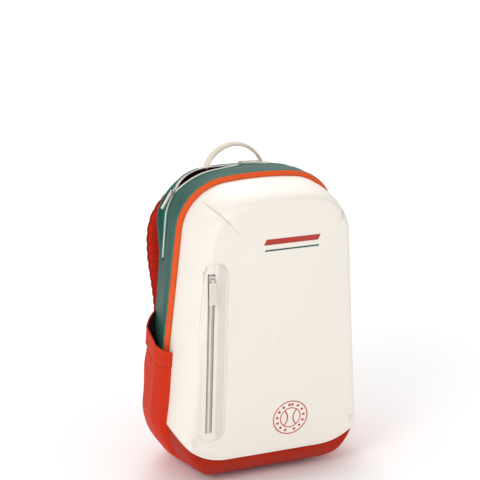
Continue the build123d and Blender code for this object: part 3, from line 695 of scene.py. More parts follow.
lift = shell["proud"] * smoothStep(-0.025, -0.001, outsideBy) * low
plainTree = BVHTree.FromPolygons(cover.reshape(-1, 3).tolist(), gridFaces(*cover.shape[:2], True).tolist())
dartLines = [dartLine(plainTree, start, end) for start, end in shell["darts"]]
for line, out in dartLines:
    lift = lift - dartGroove(cover, line)
lift = lift - slotTrough(cover[..., 0], cover[..., 2]) * (cover[..., 1] < -0.05)
cover = cover + shellNormal * lift[..., None]
skin("frontShell", cover, cream, shell["thickness"], loopRows=True, slot="shell_coating",
     stands=("front_shell",))

boot = {"top": 0.20, "thickness": 0.002, "under": 0.0016}
low = np.abs(u) > sideU(boot["top"])
lowU = u[low]
lowU = np.concatenate([lowU[lowU > 0], lowU[lowU < 0] + 2])
wrap = np.where(lowU > 1, lowU - 2, lowU)
lowEdge = np.concatenate([edge[low & (u > 0)], edge[low & (u < 0)]])
bootFront = frontSurface(wrap[:, None], lowEdge[:, None] * np.linspace(1, 0, 40)[None])
startY = seamY(bootFront[:, -1, 2])
rearY = startY[:, None] + (form["backY"] - startY[:, None]) * np.linspace(0, 1, 46)[None] ** 0.95
bootRear = rearSurface(wrap[:, None], rearY)
ease = np.clip((rearY - startY[:, None]) / form["bandStep"], 0, 1)
straightBack = bootFront[:, -1:, :] * np.array([1, 0, 1]) + bootRear * np.array([0, 1, 0])
bootRear = blendTo(straightBack, bootRear, ease[..., None])
bootSkin = np.concatenate([bootFront, bootRear[:, 1:]], 1)
under = boot["under"] * smoothStep(0.0, 0.006, bootSkin[..., 2])  # it lies under the shell, but on the floor
bootSkin = bootSkin - normalsOf(bootSkin) * under[..., None]
skin("redBoot", bootSkin, brickCloth, boot["thickness"], slot="red_fabric", stands=("base_tub",))
cut = edge > 0.02
order = np.argsort(np.where(u[cut] < 0, u[cut] + 2, u[cut]))
stitches("shellEdgeStitches", cover[:, 3][cut][order], shellNormal[:, 3][cut][order], creamRubber, 0.0001,
         slot="shell_coating")


def dartFold(name, line, out):
    # the sewn edge of a dart: a thin cord at the bottom of the groove, thinner towards its lower end, in a
    # darker cream that is painted shade of the crease
    out = out * np.sign((out * (line - np.array([0, 0.05, 0.3]))).sum(1, keepdims=True))
    k = np.linspace(0, 1, len(line))
    sunk = shell["dartDepth"] * smoothStep(0.05, 0.35, k) * (1 - smoothStep(0.8, 1.0, k))
    _, out, aside = pathFrames(line, out)
    half = shell["dartFold"] * (1 - 0.6 * k**3)
    tube(name, line - out * (sunk * 0.8)[:, None], aside, out, half, half, dartShade, 8, slot="shell_coating")


for name, (line, out) in zip(("leftDartFold", "rightDartFold"), dartLines):
    dartFold(name, line, out)
print("front shell and boot made")

# bound seam and piping
binding = {"rise": 0.0024, "depth": 0.0068, "piping": 0.0016, "endZ": 0.196, "count": 520}


def seamPath(step, back, turns):
    # a line round the seam: the outline at a step, a distance behind the leaned seam plane
    x, z = outlinePoint(turns, step, 0.0)
    return np.stack([x, seamY(z) + back, z], -1)


endU = sideU(binding["endZ"])
bandU = np.linspace(-endU, endU, binding["count"])
inner, outer = seamPath(form["bandStep"], 0.0, bandU), seamPath(0.0, binding["depth"], bandU)
middle = (inner + outer) / 2
aside = unit(outer - inner)
ahead = unit(np.gradient(middle, axis=0))
outward = np.cross(ahead, aside)
outward *= np.sign((outward * (middle - np.array([0, 0.05, 0.24]))).sum(1, keepdims=True))
turn = np.linspace(0, pi, 15)
half = np.linalg.norm(outer - inner, axis=1)[:, None] / 2 * 1.04
# a low arch over the seam, puckered along its rear edge, and a flat underside
pucker = np.sin(np.arange(len(bandU)) * 1.9)[:, None] * np.exp(-((np.cos(turn) / 0.35 - 2) ** 2))[None]
pucker = 1 + 0.10 * pucker
arch = (middle[:, None] - aside[:, None] * (half * np.cos(turn)[None])[..., None]
        + outward[:, None] * (binding["rise"] * pucker * np.sin(turn)[None] ** 0.6)[..., None])
flat = aside[:, None] * (half * np.cos(turn[::-1])[None])[..., None] * 0.9
under = middle[:, None] - flat - outward[:, None] * 0.002
ringPoints = np.concatenate([arch, under[:, 1:-1]], 1)
bandFaces = facesOut(arch)
flipBand = not np.array_equal(bandFaces, gridFaces(*arch.shape[:2]))
bindingPiece = makePiece("orangeBinding", ringPoints, gridFaces(*ringPoints.shape[:2], False, True, flipBand),
                         orangeBand, uv=lengthUv(ringPoints), slot="orange_trim", stands=("bound_seam",))
fillEnds(bindingPiece, ringPoints.shape[0], ringPoints.shape[1], False)
for label, share in (("Front", -0.62), ("Rear", 0.55)):
    row = middle + aside * half * share + outward * binding["rise"] * 0.86
    stitches(f"binding{label}Stitches", row, outward, orangeThread, 0.0002, slot="orange_trim")
# the gusset's rolled edge beside the binding, coloured lighter than the gusset as a painted highlight
pipe = seamPath(-0.0002, binding["depth"] + 0.0022, bandU)
_, pipeOut, pipeSide = pathFrames(pipe, outward)
tube("greenPiping", pipe, pipeOut, pipeSide, binding["piping"], binding["piping"], tealTrimHighlight, 10,
     slot="gusset_weave")
print("binding made")

# gussets, zip tapes and chain
zipper = {"y": 0.048, "tape": 0.009, "end": 0.340, "start": 144.0, "finish": -0.002, "gap": 0.021,
          "tooth": 0.0016, "coil": 0.0022, "height": 0.0013, "sunk": 0.0007}


def rearStepAt(y):
    # how much smaller the outline is at a depth behind the crest
    return form["rearStep"] * (y - form["crestY"]) / (form["backY"] - form["crestY"])


def zipLine():
    # places round the outline of the mouth's two ends: one on the left shoulder arc, one on the crown
    step = rearStepAt(zipper["y"])
    probeU = np.linspace(-0.6, 0.3, 3000)
    x = outlinePoint(probeU, step, 0.0)[0]
    turned, radius, crown = outlineAngles(step)[:3]
    startX = radius * cos(radians(zipper["start"])) - (crown - radius) * np.sin(turned)
    return np.interp(startX, x, probeU), np.interp(zipper["finish"], x, probeU)


mouthFrom, mouthTo = zipLine()
zipEndU = float(sideU(zipper["end"]))


def mouthGap(turns):
    # half the parted zip's width: a lens between the two sliders, fuller on the left
    k = np.clip((turns - mouthFrom) / (mouthTo - mouthFrom), 0, 1)
    return zipper["gap"] * (4 * k * (1 - k)) ** 0.85


def zipEdge(turns, side):
    # depth of a gusset's edge beside the zip: a tape's width from the zip's middle, closing under its end
    inZip = 1 - smoothStep(zipEndU, zipEndU + 0.012, np.abs(turns))
    return zipper["y"] + side * (zipper["tape"] * inZip + mouthGap(turns))


gusset = {"bottom": 0.045, "thickness": 0.0016}
gussetU = np.linspace(-float(sideU(gusset["bottom"])), float(sideU(gusset["bottom"])), 760)
k = np.linspace(0, 1, 30)[None]
seamEdge = seamPath(0.0, binding["depth"] + 0.001, gussetU)[:, 1][:, None]
backEdge = form["backY"] - form["backRound"] + 0.0005
for label, depths, size, amount, seed in (
        ("front", blendTo(seamEdge, zipEdge(gussetU, -1)[:, None], k), 0.11, 0.0009, 11),
        ("rear", blendTo(zipEdge(gussetU, 1)[:, None], backEdge, k), 0.09, 0.0007, 12)):
    swell = crumple(rearSurface(gussetU[:, None], depths), size, amount, seed) * np.sin(pi * k) ** 0.5
    # the inner face takes the dark lining colour, painted shade of the inside seen through the mouth
    skin(f"{label}GussetCloth", rearSurface(gussetU[:, None], depths, swell), [tealCloth, liningPaintedShade],
         gusset["thickness"], slot="gusset_weave", stands=(f"{label}_gusset",))
tapeU = np.linspace(-zipEndU, zipEndU, 700)
k = np.linspace(0, 1, 8)[None]
for label, side, node in (("Front", -1, "front_zip_tape"), ("Rear", 1, "rear_zip_tape")):
    tapeEdge = zipEdge(tapeU, side)
    tapeY = blendTo(tapeEdge[:, None], (zipper["y"] + side * mouthGap(tapeU))[:, None], k)
    skin(f"zipTape{label}", rearSurface(tapeU[:, None], tapeY, -zipper["sunk"]), tapeCloth, 0.0008,
         slot="zip_tape", stands=(node,))
    welt = rearSurface(tapeU, tapeEdge, 0.0004)
    welted = rearSurface(tapeU, tapeEdge, 0.01) - rearSurface(tapeU, tapeEdge, 0.0)
    _, weltOut, weltSide = pathFrames(welt, welted)
    tube(f"zipWelt{label}", welt, weltOut, weltSide, 0.0009, 0.0013, tealTrimHighlight, 8, slot="gusset_weave")
    stitches(f"zipStitches{label}", rearSurface(tapeU, tapeEdge + side * 0.0032, 0.0002), welted,
             tealTrimHighlight, 0.0002, slot="gusset_weave")


def zipChain(name, turns, y, half, node=None):
    # interlocked teeth: a low arch whose height and width beat once a tooth
    path = rearSurface(turns, y, 0.0002)
    out = rearSurface(turns, y, 0.01) - rearSurface(turns, y, 0.0)
    along = lengthAlong(path)
    places = np.linspace(0, along[-1], int(along[-1] / zipper["tooth"] * 6))
    path, out, aside = readAt(places, along, path, *pathFrames(path, out)[1:])
    beat = 0.5 + 0.5 * np.cos(places / zipper["tooth"] * 2 * pi)
    wide, tall = half * (0.72 + 0.28 * beat), zipper["height"] * (0.55 + 0.45 * beat)
    tube(name, path, unit(aside), unit(out), wide, tall, coilPlastic, 10, 0.8, slot="zip_tape",
         stands=(node,) if node else ())


for label, turns in (("left", np.linspace(-zipEndU, mouthFrom - 0.004, 300)),
                     ("right", np.linspace(mouthTo + 0.004, zipEndU, 400))):
    zipChain(f"{label}ZipChain", turns, zipper["y"], zipper["coil"], f"{label}_zip_coil")
lips = np.linspace(mouthFrom, mouthTo, 300)
for label, side in (("Front", -1), ("Rear", 1)):
    zipChain(f"mouthTeeth{label}", lips, zipper["y"] + side * (mouthGap(lips) - 0.0006), 0.0013)
print("gussets and zip made")

# side pockets
pouch = {"front": -0.026, "rear": 0.084, "bulge": 0.017, "sweepX": 0.072, "sweepZ": 0.099, "sweep": 0.098,
         "lipSlope": radians(17.0), "hem": 0.031, "lip": 0.214, "wall": 0.0018, "tuck": 0.0075,
         "startTurn": radians(72), "fold": 0.0014, "hemWall": 0.0026}


def pouchSwell(a):
    # arc in plan from the front edge through the fullest middle to the rear edge
    v = 2 * a - 1
    return pouch["bulge"] * (1 - v * v) - form["rearStep"] * (0.5 * v + 0.5 * v * v)


def lipZ(y):
    return pouch["lip"] + (y - form["seamY"]) * tan(pouch["lipSlope"])


def pouchSurface(a, b, proud=0.0):
    # a from front to rear; b below 1 follows the round lower corner, above 1 climbs the side to the lip
    p, f = pouch, form
    a, b = spread(a, b)
    y = blendTo(p["front"], p["rear"], a)
    tuck = p["tuck"] * (1 - smoothStep(0, 0.09, a))
    wide = f["halfWidth"] - (p["sweepZ"] - f["cornerRadius"]) * tan(f["taper"])
    reach = wide - p["sweepX"] + pouchSwell(a) - tuck
    phi = (f["taper"] + p["startTurn"]) * np.clip(b, 0, 1) - p["startTurn"]
    x = p["sweepX"] + (np.minimum(reach, p["sweep"]) + proud) * np.cos(phi)
    z = p["sweepZ"] + (p["sweep"] - 0.001 + proud) * np.sin(phi)
    up = np.clip(b - 1, 0, 1)
    rise = lipZ(y) - (p["sweepZ"] + p["sweep"] * sin(f["taper"]))
    x = x - up * rise * tan(f["taper"])
    z = z + up * rise
    return np.stack([-x, y, z], -1)


def sidePocket(label, side):
    a = np.linspace(0, 1, 90)[:, None]
    p = pouch
    hemFrom = 1 - p["hem"] / 0.128
    flip = np.array([side, 1.0, 1.0])
    b = np.concatenate([np.linspace(0, 1, 44), 1 + np.linspace(0, hemFrom + 0.02, 40)[1:]])[None]
    cloth = pouchSurface(a, b)
    # folds run up from the rear lower corner, and the seam pulls the cloth in below the hem
    fold = p["fold"] * np.sin(cloth[..., 2] * 150 + cloth[..., 1] * 120)
    fold = fold * smoothStep(0.55, 1.0, a) * smoothStep(1.5, 0.7, b)
    fold = fold + crumple(cloth, 0.07, 0.0012, 21) * np.sin(pi * a) * smoothStep(0, 0.3, b)
    fold = fold - 0.0016 * np.exp(-(((b - 1 - hemFrom) / 0.035) ** 2))
    cloth = cloth + normalsOf(cloth) * fold[..., None]
    # the pocket's inner face takes the dark lining colour, painted shade of the pocket's inside
    skin(f"{label}PocketCloth", cloth * flip, [vermilionCloth, liningPaintedShade], p["wall"],
         slot="red_fabric", stands=(f"{label}_side_pocket",))
    b = 1 + np.linspace(hemFrom, 1, 26)[None]
    hem = pouchSurface(a, b, 0.0008)
    lipRoll = np.linspace(0, 1, 26)[None]
    relief = 0.0009 * np.sin(pi * np.clip(lipRoll * 1.02, 0, 1)) ** 0.4
    relief = relief + 0.0010 * np.exp(-(((lipRoll - 0.93) / 0.05) ** 2))
    hem = hem + normalsOf(hem) * (relief + crumple(hem, 0.06, 0.0006, 23) * np.sin(pi * a))[..., None]
    skin(f"{label}PocketHem", hem * flip, [vermilionCloth, liningPaintedShade], p["hemWall"], slot="red_fabric",
         stands=(f"{label}_pocket_hem",))
    for share, name in ((0.10, "Low"), (0.84, "High")):
        line = pouchSurface(a[:, 0], 1 + blendTo(hemFrom, 1, share), 0.0012) * flip
        stitches(f"{label}Hem{name}Stitches", line, unit(line - np.array([0, 0.03, line[0, 2]])),
                 orangeThread, 0.0008, slot="orange_trim")


for label, side in (("left", 1), ("right", -1)):
    sidePocket(label, side)
print("side pockets made")

# front pocket, badge and print
filmSteps = {"around": 420, "across": 16}


def stadium(x, z, width, height, count):
    # outline of an upright rounded rectangle with fully round ends, by the turn of its radius
    turn = np.linspace(0, 2 * pi, count, endpoint=False)
    r = width / 2
    straight = height / 2 - r
    px, pz = r * np.cos(turn), r * np.sin(turn)
    return x + px, z + pz + np.tanh(np.sin(turn) * 40) * straight


def panelHalfAt(z):
    # half the front's width at a height on its straight sides
    return form["halfWidth"] - form["bandStep"] - (z - form["cornerRadius"]) * tan(form["taper"])


def makePocket():
    # a thin film round a slot that stays open over the zip, on the face of the shell
    p = pocket
    height = p["top"] - p["bottom"]
    outerX, outerZ = stadium(p["x"], (p["bottom"] + p["top"]) / 2, p["width"], height, filmSteps["around"])
    # the long sides get points of their own by an even walk round the outline
    ring = np.stack([outerX, 0 * outerX, outerZ], 1)
    along = lengthAlong(np.concatenate([ring, ring[:1]]))
    pitch = along[-1] / filmSteps["around"]
    outer, = readAt(np.arange(pitch / 2, along[-1], pitch), along, np.concatenate([ring, ring[:1]]))
    half = p["slot"] / 2
    innerX = outer[:, 0].clip(p["slotX"] - half, p["slotX"] + half)
    innerZ = outer[:, 2].clip(p["zipBottom"], p["zipTop"])
    k = np.linspace(0, 1, filmSteps["across"])[None]
    x = blendTo(innerX[:, None], outer[:, 0][:, None], k)
    z = blendTo(innerZ[:, None], outer[:, 2][:, None], k)
    x = np.maximum(x, p["sideMargin"] - panelHalfAt(z))
    # raised beads along the slot and the outer edge, both edges turned down
    bead = 0.0005 * np.exp(-(((k - 0.1) / 0.06) ** 2)) + 0.0003 * np.exp(-(((k - 0.93) / 0.03) ** 2))
    drop = -0.0024 * (k < 0.001) - p["film"] * (k > 0.999)
    film = frontFace(x, z, p["film"] + bead + drop)
    film = np.concatenate([film[:, :1] + np.array([0, 0.0006, 0]), film], 1)
    skin("pocketFilm", film, pocketFilm(p["slotX"]), 0.0006, behindFront, True, slot="shell_coating",
         stands=("pocket_frame",))
    z = np.linspace(p["zipBottom"] - 0.003, p["zipTop"] + 0.003, 130)
    across = np.linspace(-0.011, 0.011, 12)
    tape = frontFace(p["slotX"] + across[None] + 0 * z[:, None], z[:, None] + 0 * across[None], -0.0020)
    skin("pocketZipTape", tape, tapeCloth, 0.0006, behindFront, slot="zip_tape", stands=("pocket_zip_tape",))
    count = 1200
    z = np.linspace(p["zipBottom"] + 0.001, p["zipTop"] - 0.001, count)
    path = frontFace(p["slotX"] + 0 * z, z, -0.0014)
    _, out, aside = pathFrames(path, forwards)
    beat = 0.5 + 0.5 * np.cos(np.arange(count) * 2 * pi / 7.5)  # one tooth in 7.5 points
    tube("pocketZipChain", path, aside, out, 0.0021 * (0.72 + 0.28 * beat), 0.0010 * (0.6 + 0.4 * beat),
         coilPlastic, 10, 0.8, slot="zip_tape", stands=("pocket_zip_coil",))
    # a thin dark strip along each side of the slot, coloured as painted shadow of the shaded gap there
    for side, name in ((-1, "Left"), (1, "Right")):
        z = np.linspace(p["zipBottom"], p["zipTop"], 200)
        edge = frontFace(p["slotX"] + side * (half + 0.0001) + 0 * z, z, -0.0002)
        _, out, aside = pathFrames(edge, forwards)
        tube(f"pocketSlotEdge{name}", edge, aside, out, 0.0006, 0.0008, slotEdgeShade, 8, slot="shell_coating")
    rim = outer[:, [0, 2]]
    inset = rim - 0.0026 * unit(rim - np.stack([innerX, innerZ], 1))
    x, z = inset.T
    line = frontFace(np.maximum(x, p["sideMargin"] + 0.0026 - panelHalfAt(z)), z, p["film"])
    stitches("pocketFilmStitches", line, forwards, creamRubber, 0.0001, slot="shell_coating")


makePocket()
badge = {"x": 0.026, "z": 0.104, "radius": 0.0295, "proud": 0.0009}


def makeBadge():
    b = badge
    turn = np.linspace(0, 2 * pi, 120, endpoint=False)[:, None]
    r = b["radius"] * np.concatenate([np.linspace(1, 0.96, 4), np.linspace(0.95, 0, 24)])[None]
    proud = np.where(r > 0.999 * b["radius"], 0.0, b["proud"]) - 0 * turn
    disc = frontFace(b["x"] + r * np.cos(turn), b["z"] + r * np.sin(turn), proud)
    skin("ballBadge", disc, ballPrint((b["x"], b["z"]), b["radius"]), 0.0006, behindFront, True,
         slot="badge_print", stands=("badge",))


makeBadge()
printed = {"left": -0.026, "right": 0.060, "bars": ((0.399, 0.0085), (0.386, 0.0022)), "lift": 0.00035}


def makePrint():
    # two plain printed stripes across the upper face
    inks = (plainRubber("redInk", rgb(190, 62, 48), rgb(172, 48, 38), 0.5),
            plainRubber("tealInk", rgb(38, 92, 84), rgb(28, 76, 70), 0.5))
    for (z, height), ink, name in zip(printed["bars"], inks, ("Red", "Teal")):
        x = np.linspace(printed["left"], printed["right"], 60)[:, None]
        rise = z + height * np.linspace(-0.5, 0.5, 6)[None]
        slant = (rise - z) * 0.45
        stripe = frontFace(x + slant, rise + 0 * x, printed["lift"])
        skin(f"printed{name}Stripe", stripe, ink, 0.0003, behindFront, slot="badge_print")


makePrint()
print("front pocket and badge made")

# back panel and pads
back = {"middle": 0.235, "quilt": 0.0012, "channel": 0.030}


def makeBack():
    f = form
    turns = np.linspace(-1, 1, 321)[:-1][:, None]
    y = np.concatenate([np.linspace(f["backY"] - f["backRound"], f["backY"] - 0.002, 12),
                        f["backY"] - 0.002 * np.linspace(0.8, 0, 6) ** 2])[None]
    edge = rearSurface(turns, y)
    k = np.linspace(0, 1, 50)[None, 1:, None]
    middle = np.array([0, f["backY"], back["middle"]])
    face = blendTo(edge[:, -1:], middle, k)
    # quilted in upright channels that fade out at the edge
    ripple = np.abs(np.sin(face[..., 0] * pi / back["channel"]))
    face[..., 1] += back["quilt"] * ripple * smoothStep(0, 0.3, k[..., 0])
    face[:, -1] = face[:, -1].mean(0)
    skin("backPanelCloth", np.concatenate([edge, face], 1), [redCloth, liningPaintedShade], 0.002, loopRows=True,
         slot="red_fabric", stands=("back_panel",))


pads = {"voxel": 0.0030, "pressure": 3.0, "cap": 0.0022, "frames": 20, "channelDepth": 0.0024,
        "channelWidth": 0.2, "edge": 0.12}


def nodeBox(node):
    # a CAD node's lowest and highest corner
    return np.array(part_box(node))


def puff(piece):
    # remesh the pad, blow it up as cloth, cap each point's travel and keep the result
    scene = bpy.context.scene
    remesh = piece.modifiers.new("remesh", "REMESH")
    remesh.mode, remesh.voxel_size = "VOXEL", pads["voxel"]
    graph = bpy.context.evaluated_depsgraph_get()
    coarse = bpy.data.meshes.new_from_object(piece.evaluated_get(graph))
    piece.modifiers.clear()
    piece.data = coarse
    rest = np.empty(len(coarse.vertices) * 3, np.float32)
    coarse.vertices.foreach_get("co", rest)
    cloth = piece.modifiers.new("cloth", "CLOTH")
    cloth.settings.use_pressure, cloth.settings.uniform_pressure_force = True, pads["pressure"]
    cloth.settings.effector_weights.gravity = 0
    cloth.settings.quality = 6
    for number in range(1, pads["frames"] + 1):
        scene.frame_set(number)
    graph = bpy.context.evaluated_depsgraph_get()
    blown = piece.evaluated_get(graph).to_mesh()
    moved = np.empty_like(rest)
    blown.vertices.foreach_get("co", moved)
    piece.evaluated_get(graph).to_mesh_clear()
    piece.modifiers.clear()
    scene.frame_set(1)
    travel = (moved - rest).reshape(-1, 3)
    size = np.linalg.norm(travel, axis=1, keepdims=True)
    travel *= np.minimum(1, pads["cap"] / np.maximum(size, 1e-9))
    coarse.vertices.foreach_set("co", (rest.reshape(-1, 3) + travel).ravel())
    coarse.polygons.foreach_set("use_smooth", np.full(len(coarse.polygons), True))
    coarse.update()


def sewChannels(piece, low, high, channels, power):
    # level channels pressed into the pad's outer side, deepest in the middle and gone at its rim
    co = np.empty(len(piece.data.vertices) * 3, np.float32)
    piece.data.vertices.foreach_get("co", co)
    co = co.reshape(-1, 3)
    centre, half = (low + high) / 2, (high - low) / 2
    reach = (np.abs((co[:, [0, 2]] - centre[[0, 2]]) / half[[0, 2]]) ** power).sum(1)
    inside = 1 - np.clip(reach, 0, 1) ** (6 / power)
    outer = smoothStep(0.25, 0.7, (co[:, 1] - low[1]) / (high[1] - low[1]))
    wave = np.sin((co[:, 2] - low[2]) / (high[2] - low[2]) * pi * channels)
    co[:, 1] -= pads["channelDepth"] * np.exp(-((wave / pads["channelWidth"]) ** 2)) * inside * outer
    piece.data.vertices.foreach_set("co", co.ravel())
    piece.data.update()


def padForm(name, node, material, slot, channels=0, power=5.0, puffed=True):
    # a crowned pad: superellipse in plan, domed on its outer side, flat where it lies on the back
    low, high = nodeBox(node)
    centre, half = (low + high) / 2, (high - low) / 2
    ex, ez = squareRound(240, 2 / power, 2 / power)
    out = np.linspace(0, 1, 60)[None]
    rise = pads["edge"] + (1 - pads["edge"]) * (1 - out**4) ** 0.55
    under = np.linspace(1, 0, 16)[None, 1:]
    r = np.concatenate([out, under], 1)
    y = low[1] + np.concatenate([(high[1] - low[1]) * rise, 0 * under], 1)
    x, z = centre[0] + half[0] * ex[:, None] * r, centre[2] + half[2] * ez[:, None] * r
    points = np.stack([x, y + 0 * x, z], -1)
    pad = makePiece(name, points, facesOut(points, True, False, centre), material, slot=slot, stands=(node,))
    closePoles(pad)
    if puffed:
        puff(pad)
    if channels:
        sewChannels(pad, low, high, channels, power)
    sub = pad.modifiers.new("smooth", "SUBSURF")
    sub.levels = sub.render_levels = 1


def closePoles(piece):
    # the points that meet in a grid's middle become one
    work = bmesh.new()
    work.from_mesh(piece.data)
    bmesh.ops.remove_doubles(work, verts=work.verts, dist=1e-6)
    bmesh.ops.recalc_face_normals(work, faces=work.faces)
    work.to_mesh(piece.data)
    work.free()


makeBack()
for name, node, channels in (("leftBackPad", "left_back_pad", 6), ("rightBackPad", "right_back_pad", 6),
                             ("lumbarPad", "lumbar_pad", 2)):
    padForm(name, node, mesh, "air_mesh", channels)
padForm("yokePad", "strap_yoke", redCloth, "red_fabric", power=7.0, puffed=False)
print("back made")

# shoulder straps
strap = {"path": ((-0.053, 0.1013, 0.441), (-0.074, 0.110, 0.412), (-0.099, 0.116, 0.376),
                  (-0.104, 0.116, 0.330), (-0.097, 0.111, 0.250), (-0.093, 0.109, 0.1505)),
         "half": 0.0300, "thick": 0.0074, "channel": 0.0145, "rows": 520, "sides": 56}
flap = {"line": ((0, 0.0918, 0.4515), (0, 0.0950, 0.4490), (0, 0.1030, 0.4470), (0, 0.1095, 0.4420),
                 (0, 0.1130, 0.4330), (0, 0.1160, 0.4220)),
        # at its lower and its upper edge: height, middle and half width
        "ends": (0.422, 0.4515), "middle": (-0.066, -0.050), "half": (0.038, 0.031), "thick": 0.0016}


def smoothPath(knots, count):
    # Catmull-Rom curve through the knots, at evenly spread places
    p = np.array(knots)
    p = np.concatenate([2 * p[:1] - p[1:2], p, 2 * p[-1:] - p[-2:-1]])
    t = np.linspace(0, len(knots) - 1 - 1e-9, count)
    i = t.astype(int)
    k = (t - i)[:, None]
    a, b, c, d = p[i], p[i + 1], p[i + 2], p[i + 3]
    bends = (2 * a - 5 * b + 4 * c - d) * k**2 + (3 * b - a - 3 * c + d) * k**3
    return 0.5 * (2 * b + (c - a) * k + bends)


def makeStrap(label, side):
    # a padded band with channels across it: both half sizes swell between the sewn lines
    s = strap
    flip = np.array([side, 1.0, 1.0])
    path = smoothPath(s["path"], s["rows"])
    along = lengthAlong(path)
    places = np.linspace(0, along[-1], s["rows"])
    path, = readAt(places, along, path)
    _, out, aside = pathFrames(path, backwards)
    rib = np.abs(np.sin(places * pi / s["channel"])) ** 0.6
    ends = np.minimum(1, np.minimum(places, along[-1] - places) / 0.006) ** 0.5
    ex, ey = squareRound(s["sides"], 0.55, 0.75)
    crown = 1 - 0.35 * np.abs(np.cos(np.linspace(0, 2 * pi, s["sides"], endpoint=False))) ** 6
    width = s["half"] * (0.955 + 0.045 * rib) * (0.93 + 0.07 * ends)
    width = width * (0.84 + 0.16 * smoothStep(0, 0.06, places))
    thick = s["thick"] * (0.66 + 0.34 * rib) * (0.55 + 0.45 * ends)
    points = (path[:, None] + aside[:, None] * (width[:, None] * ex)[..., None]
              + out[:, None] * (thick[:, None] * ey * crown)[..., None]) * flip
    body = f"{label}_strap"
    faces = gridFaces(s["rows"], s["sides"], False, True, side < 0)
    piece = makePiece(f"{label}StrapPad", points, faces, strapCloth, body, uv=lengthUv(points),
                      slot="red_fabric", stands=(f"{label}_shoulder_strap",))
    fillEnds(piece, s["rows"], s["sides"], False)
    inner = slice(4, -4)
    for way, name in ((-1, "Outer"), (1, "Inner")):
        line = (path + aside * (way * width)[:, None]) * flip
        tube(f"{label}StrapEdge{name}", line[inner], (aside * flip)[inner], out[inner] * flip, 0.0014, 0.0024,
             redWebbing, 10, body=body, slot="red_fabric")


def makeFlap(label, side):
    # a flap over the sewn top of the strap: its line carried across, with both edges turned down
    f = flap
    body = f"{label}_strap"
    line = smoothPath(f["line"], 40)
    across = np.linspace(-1, 1, 50)[:, None]
    x = np.interp(line[:, 2], f["ends"], f["middle"]) + across * np.interp(line[:, 2], f["ends"], f["half"])
    points = np.stack([x, line[None, :, 1] - 0.0035 * np.abs(across) ** 8, line[None, :, 2] + 0 * x], -1)
    points = points * np.array([side, 1.0, 1.0])
    cover = skin(f"{label}YokeFlap", points, redCloth, f["thick"], np.array([0, 0.05, 0.43]),
                 slot="red_fabric", body=None)
    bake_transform(cover)
    stitches(f"{label}FlapStitches", points[:, -4] + np.array([0, 0.0002, 0]), (0.0, 1.0, 0.1), orangeThread,
             0.0003, body=body, slot="orange_trim")


band = {"half": 0.0125, "thick": 0.0008, "square": 0.35, "foot": (-0.104, 0.0945, 0.060), "sag": 0.004,
        "anchor": (-0.104, 0.0912, 0.062), "anchorRise": 0.0026}


def bandTube(name, path, out, aside, lift=0.0, half=band["half"], thick=band["thick"], **more):
    # a flat run of webbing with blunt edges
    return tube(name, path + out * lift, aside, out, half, thick, redWebbing, 24, band["square"],
                slot="webbing", **more)


def makeWebbing(label, side):
    # the tail hangs from the buckle, the lower band runs from the buckle to its anchor on the pack
    body = f"{label}_strap"
    low, high = nodeBox(f"{label}_webbing_tail")
    z = np.linspace(high[2], low[2], 60)
    k = (high[2] - z) / (high[2] - low[2])
    path = np.stack([0 * z + (low[0] + high[0]) / 2, (low[1] + high[1]) / 2 + 0.002 * np.sin(k * 2.6), z], 1)
    _, out, aside = pathFrames(path, backwards)
    bandTube(f"{label}TailWebbing", path, out, aside, body=body, stands=(f"{label}_webbing_tail",))
    hem = slice(-9, None)
    bandTube(f"{label}TailHem", path[hem], out[hem], aside[hem], 0.0012, 0.0126, 0.0012, body=body)
    buckle = nodeBox(f"{label}_strap_buckle")
    top = np.array([buckle[:, 0].mean(), buckle[:, 1].mean(), buckle[0, 2] + 0.003])
    k = np.linspace(0, 1, 60)[:, None]
    foot = np.array(band["foot"]) * (side, 1, 1)
    path = blendTo(foot, top, k) - np.array([0, band["sag"], 0]) * np.sin(pi * k)
    _, out, aside = pathFrames(path, backwards)
    piece = bandTube(f"{label}LowerWebbing", path, out, aside, body=None, stands=(f"{label}_lower_webbing",))
    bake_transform(piece)


def makeAnchor(label, side):
    # a blunt triangle of doubled cloth with the webbing's foot sewn into it, domed and flat underneath
    x, y, z = band["anchor"]
    turn = np.linspace(0, 2 * pi, 96, endpoint=False)
    reach = 0.020 / np.maximum(np.cos((turn - pi / 2 + pi / 3) % (2 * pi / 3) - pi / 3), 0.5)
    reach = np.minimum(reach, 0.030)[:, None] * 0.62
    over, under = np.linspace(0, 1, 16), np.linspace(0.97, 0, 6)
    r = np.concatenate([over, under])[None]
    rise = np.concatenate([band["anchorRise"] * (1 - over**6) ** 0.5, 0 * under])[None]
    acrossX = side * x + reach * r * np.cos(turn)[:, None]
    patch = np.stack([acrossX, y + rise + 0 * acrossX, z + reach * r * np.sin(turn)[:, None]], -1)
    makePiece(f"{label}AnchorPatch", patch, facesOut(patch, True, False, patch.mean((0, 1))), redCloth,
              uv=patch[..., [0, 2]], slot="red_fabric", stands=(f"{label}_lower_anchor",))
    ring = patch[:, 12] + np.array([0, 0.0004, 0])
    stitches(f"{label}AnchorStitches", ring, backwards, orangeThread, 0.0003, slot="orange_trim")


for label, side in (("left", 1.0), ("right", -1.0)):
    for make in (makeStrap, makeFlap, makeWebbing, makeAnchor):
        make(label, side)
print("straps made")

# handle
handle = {"radius": 0.050, "centre": (0, 0.080, 0.451), "foot": 0.4672, "half": 0.0100, "thick": 0.0015,
          "rise": 0.0014, "patchX": (0.039, 0.061), "patchY": (0.0685, 0.0903), "patchProud": 0.0018}


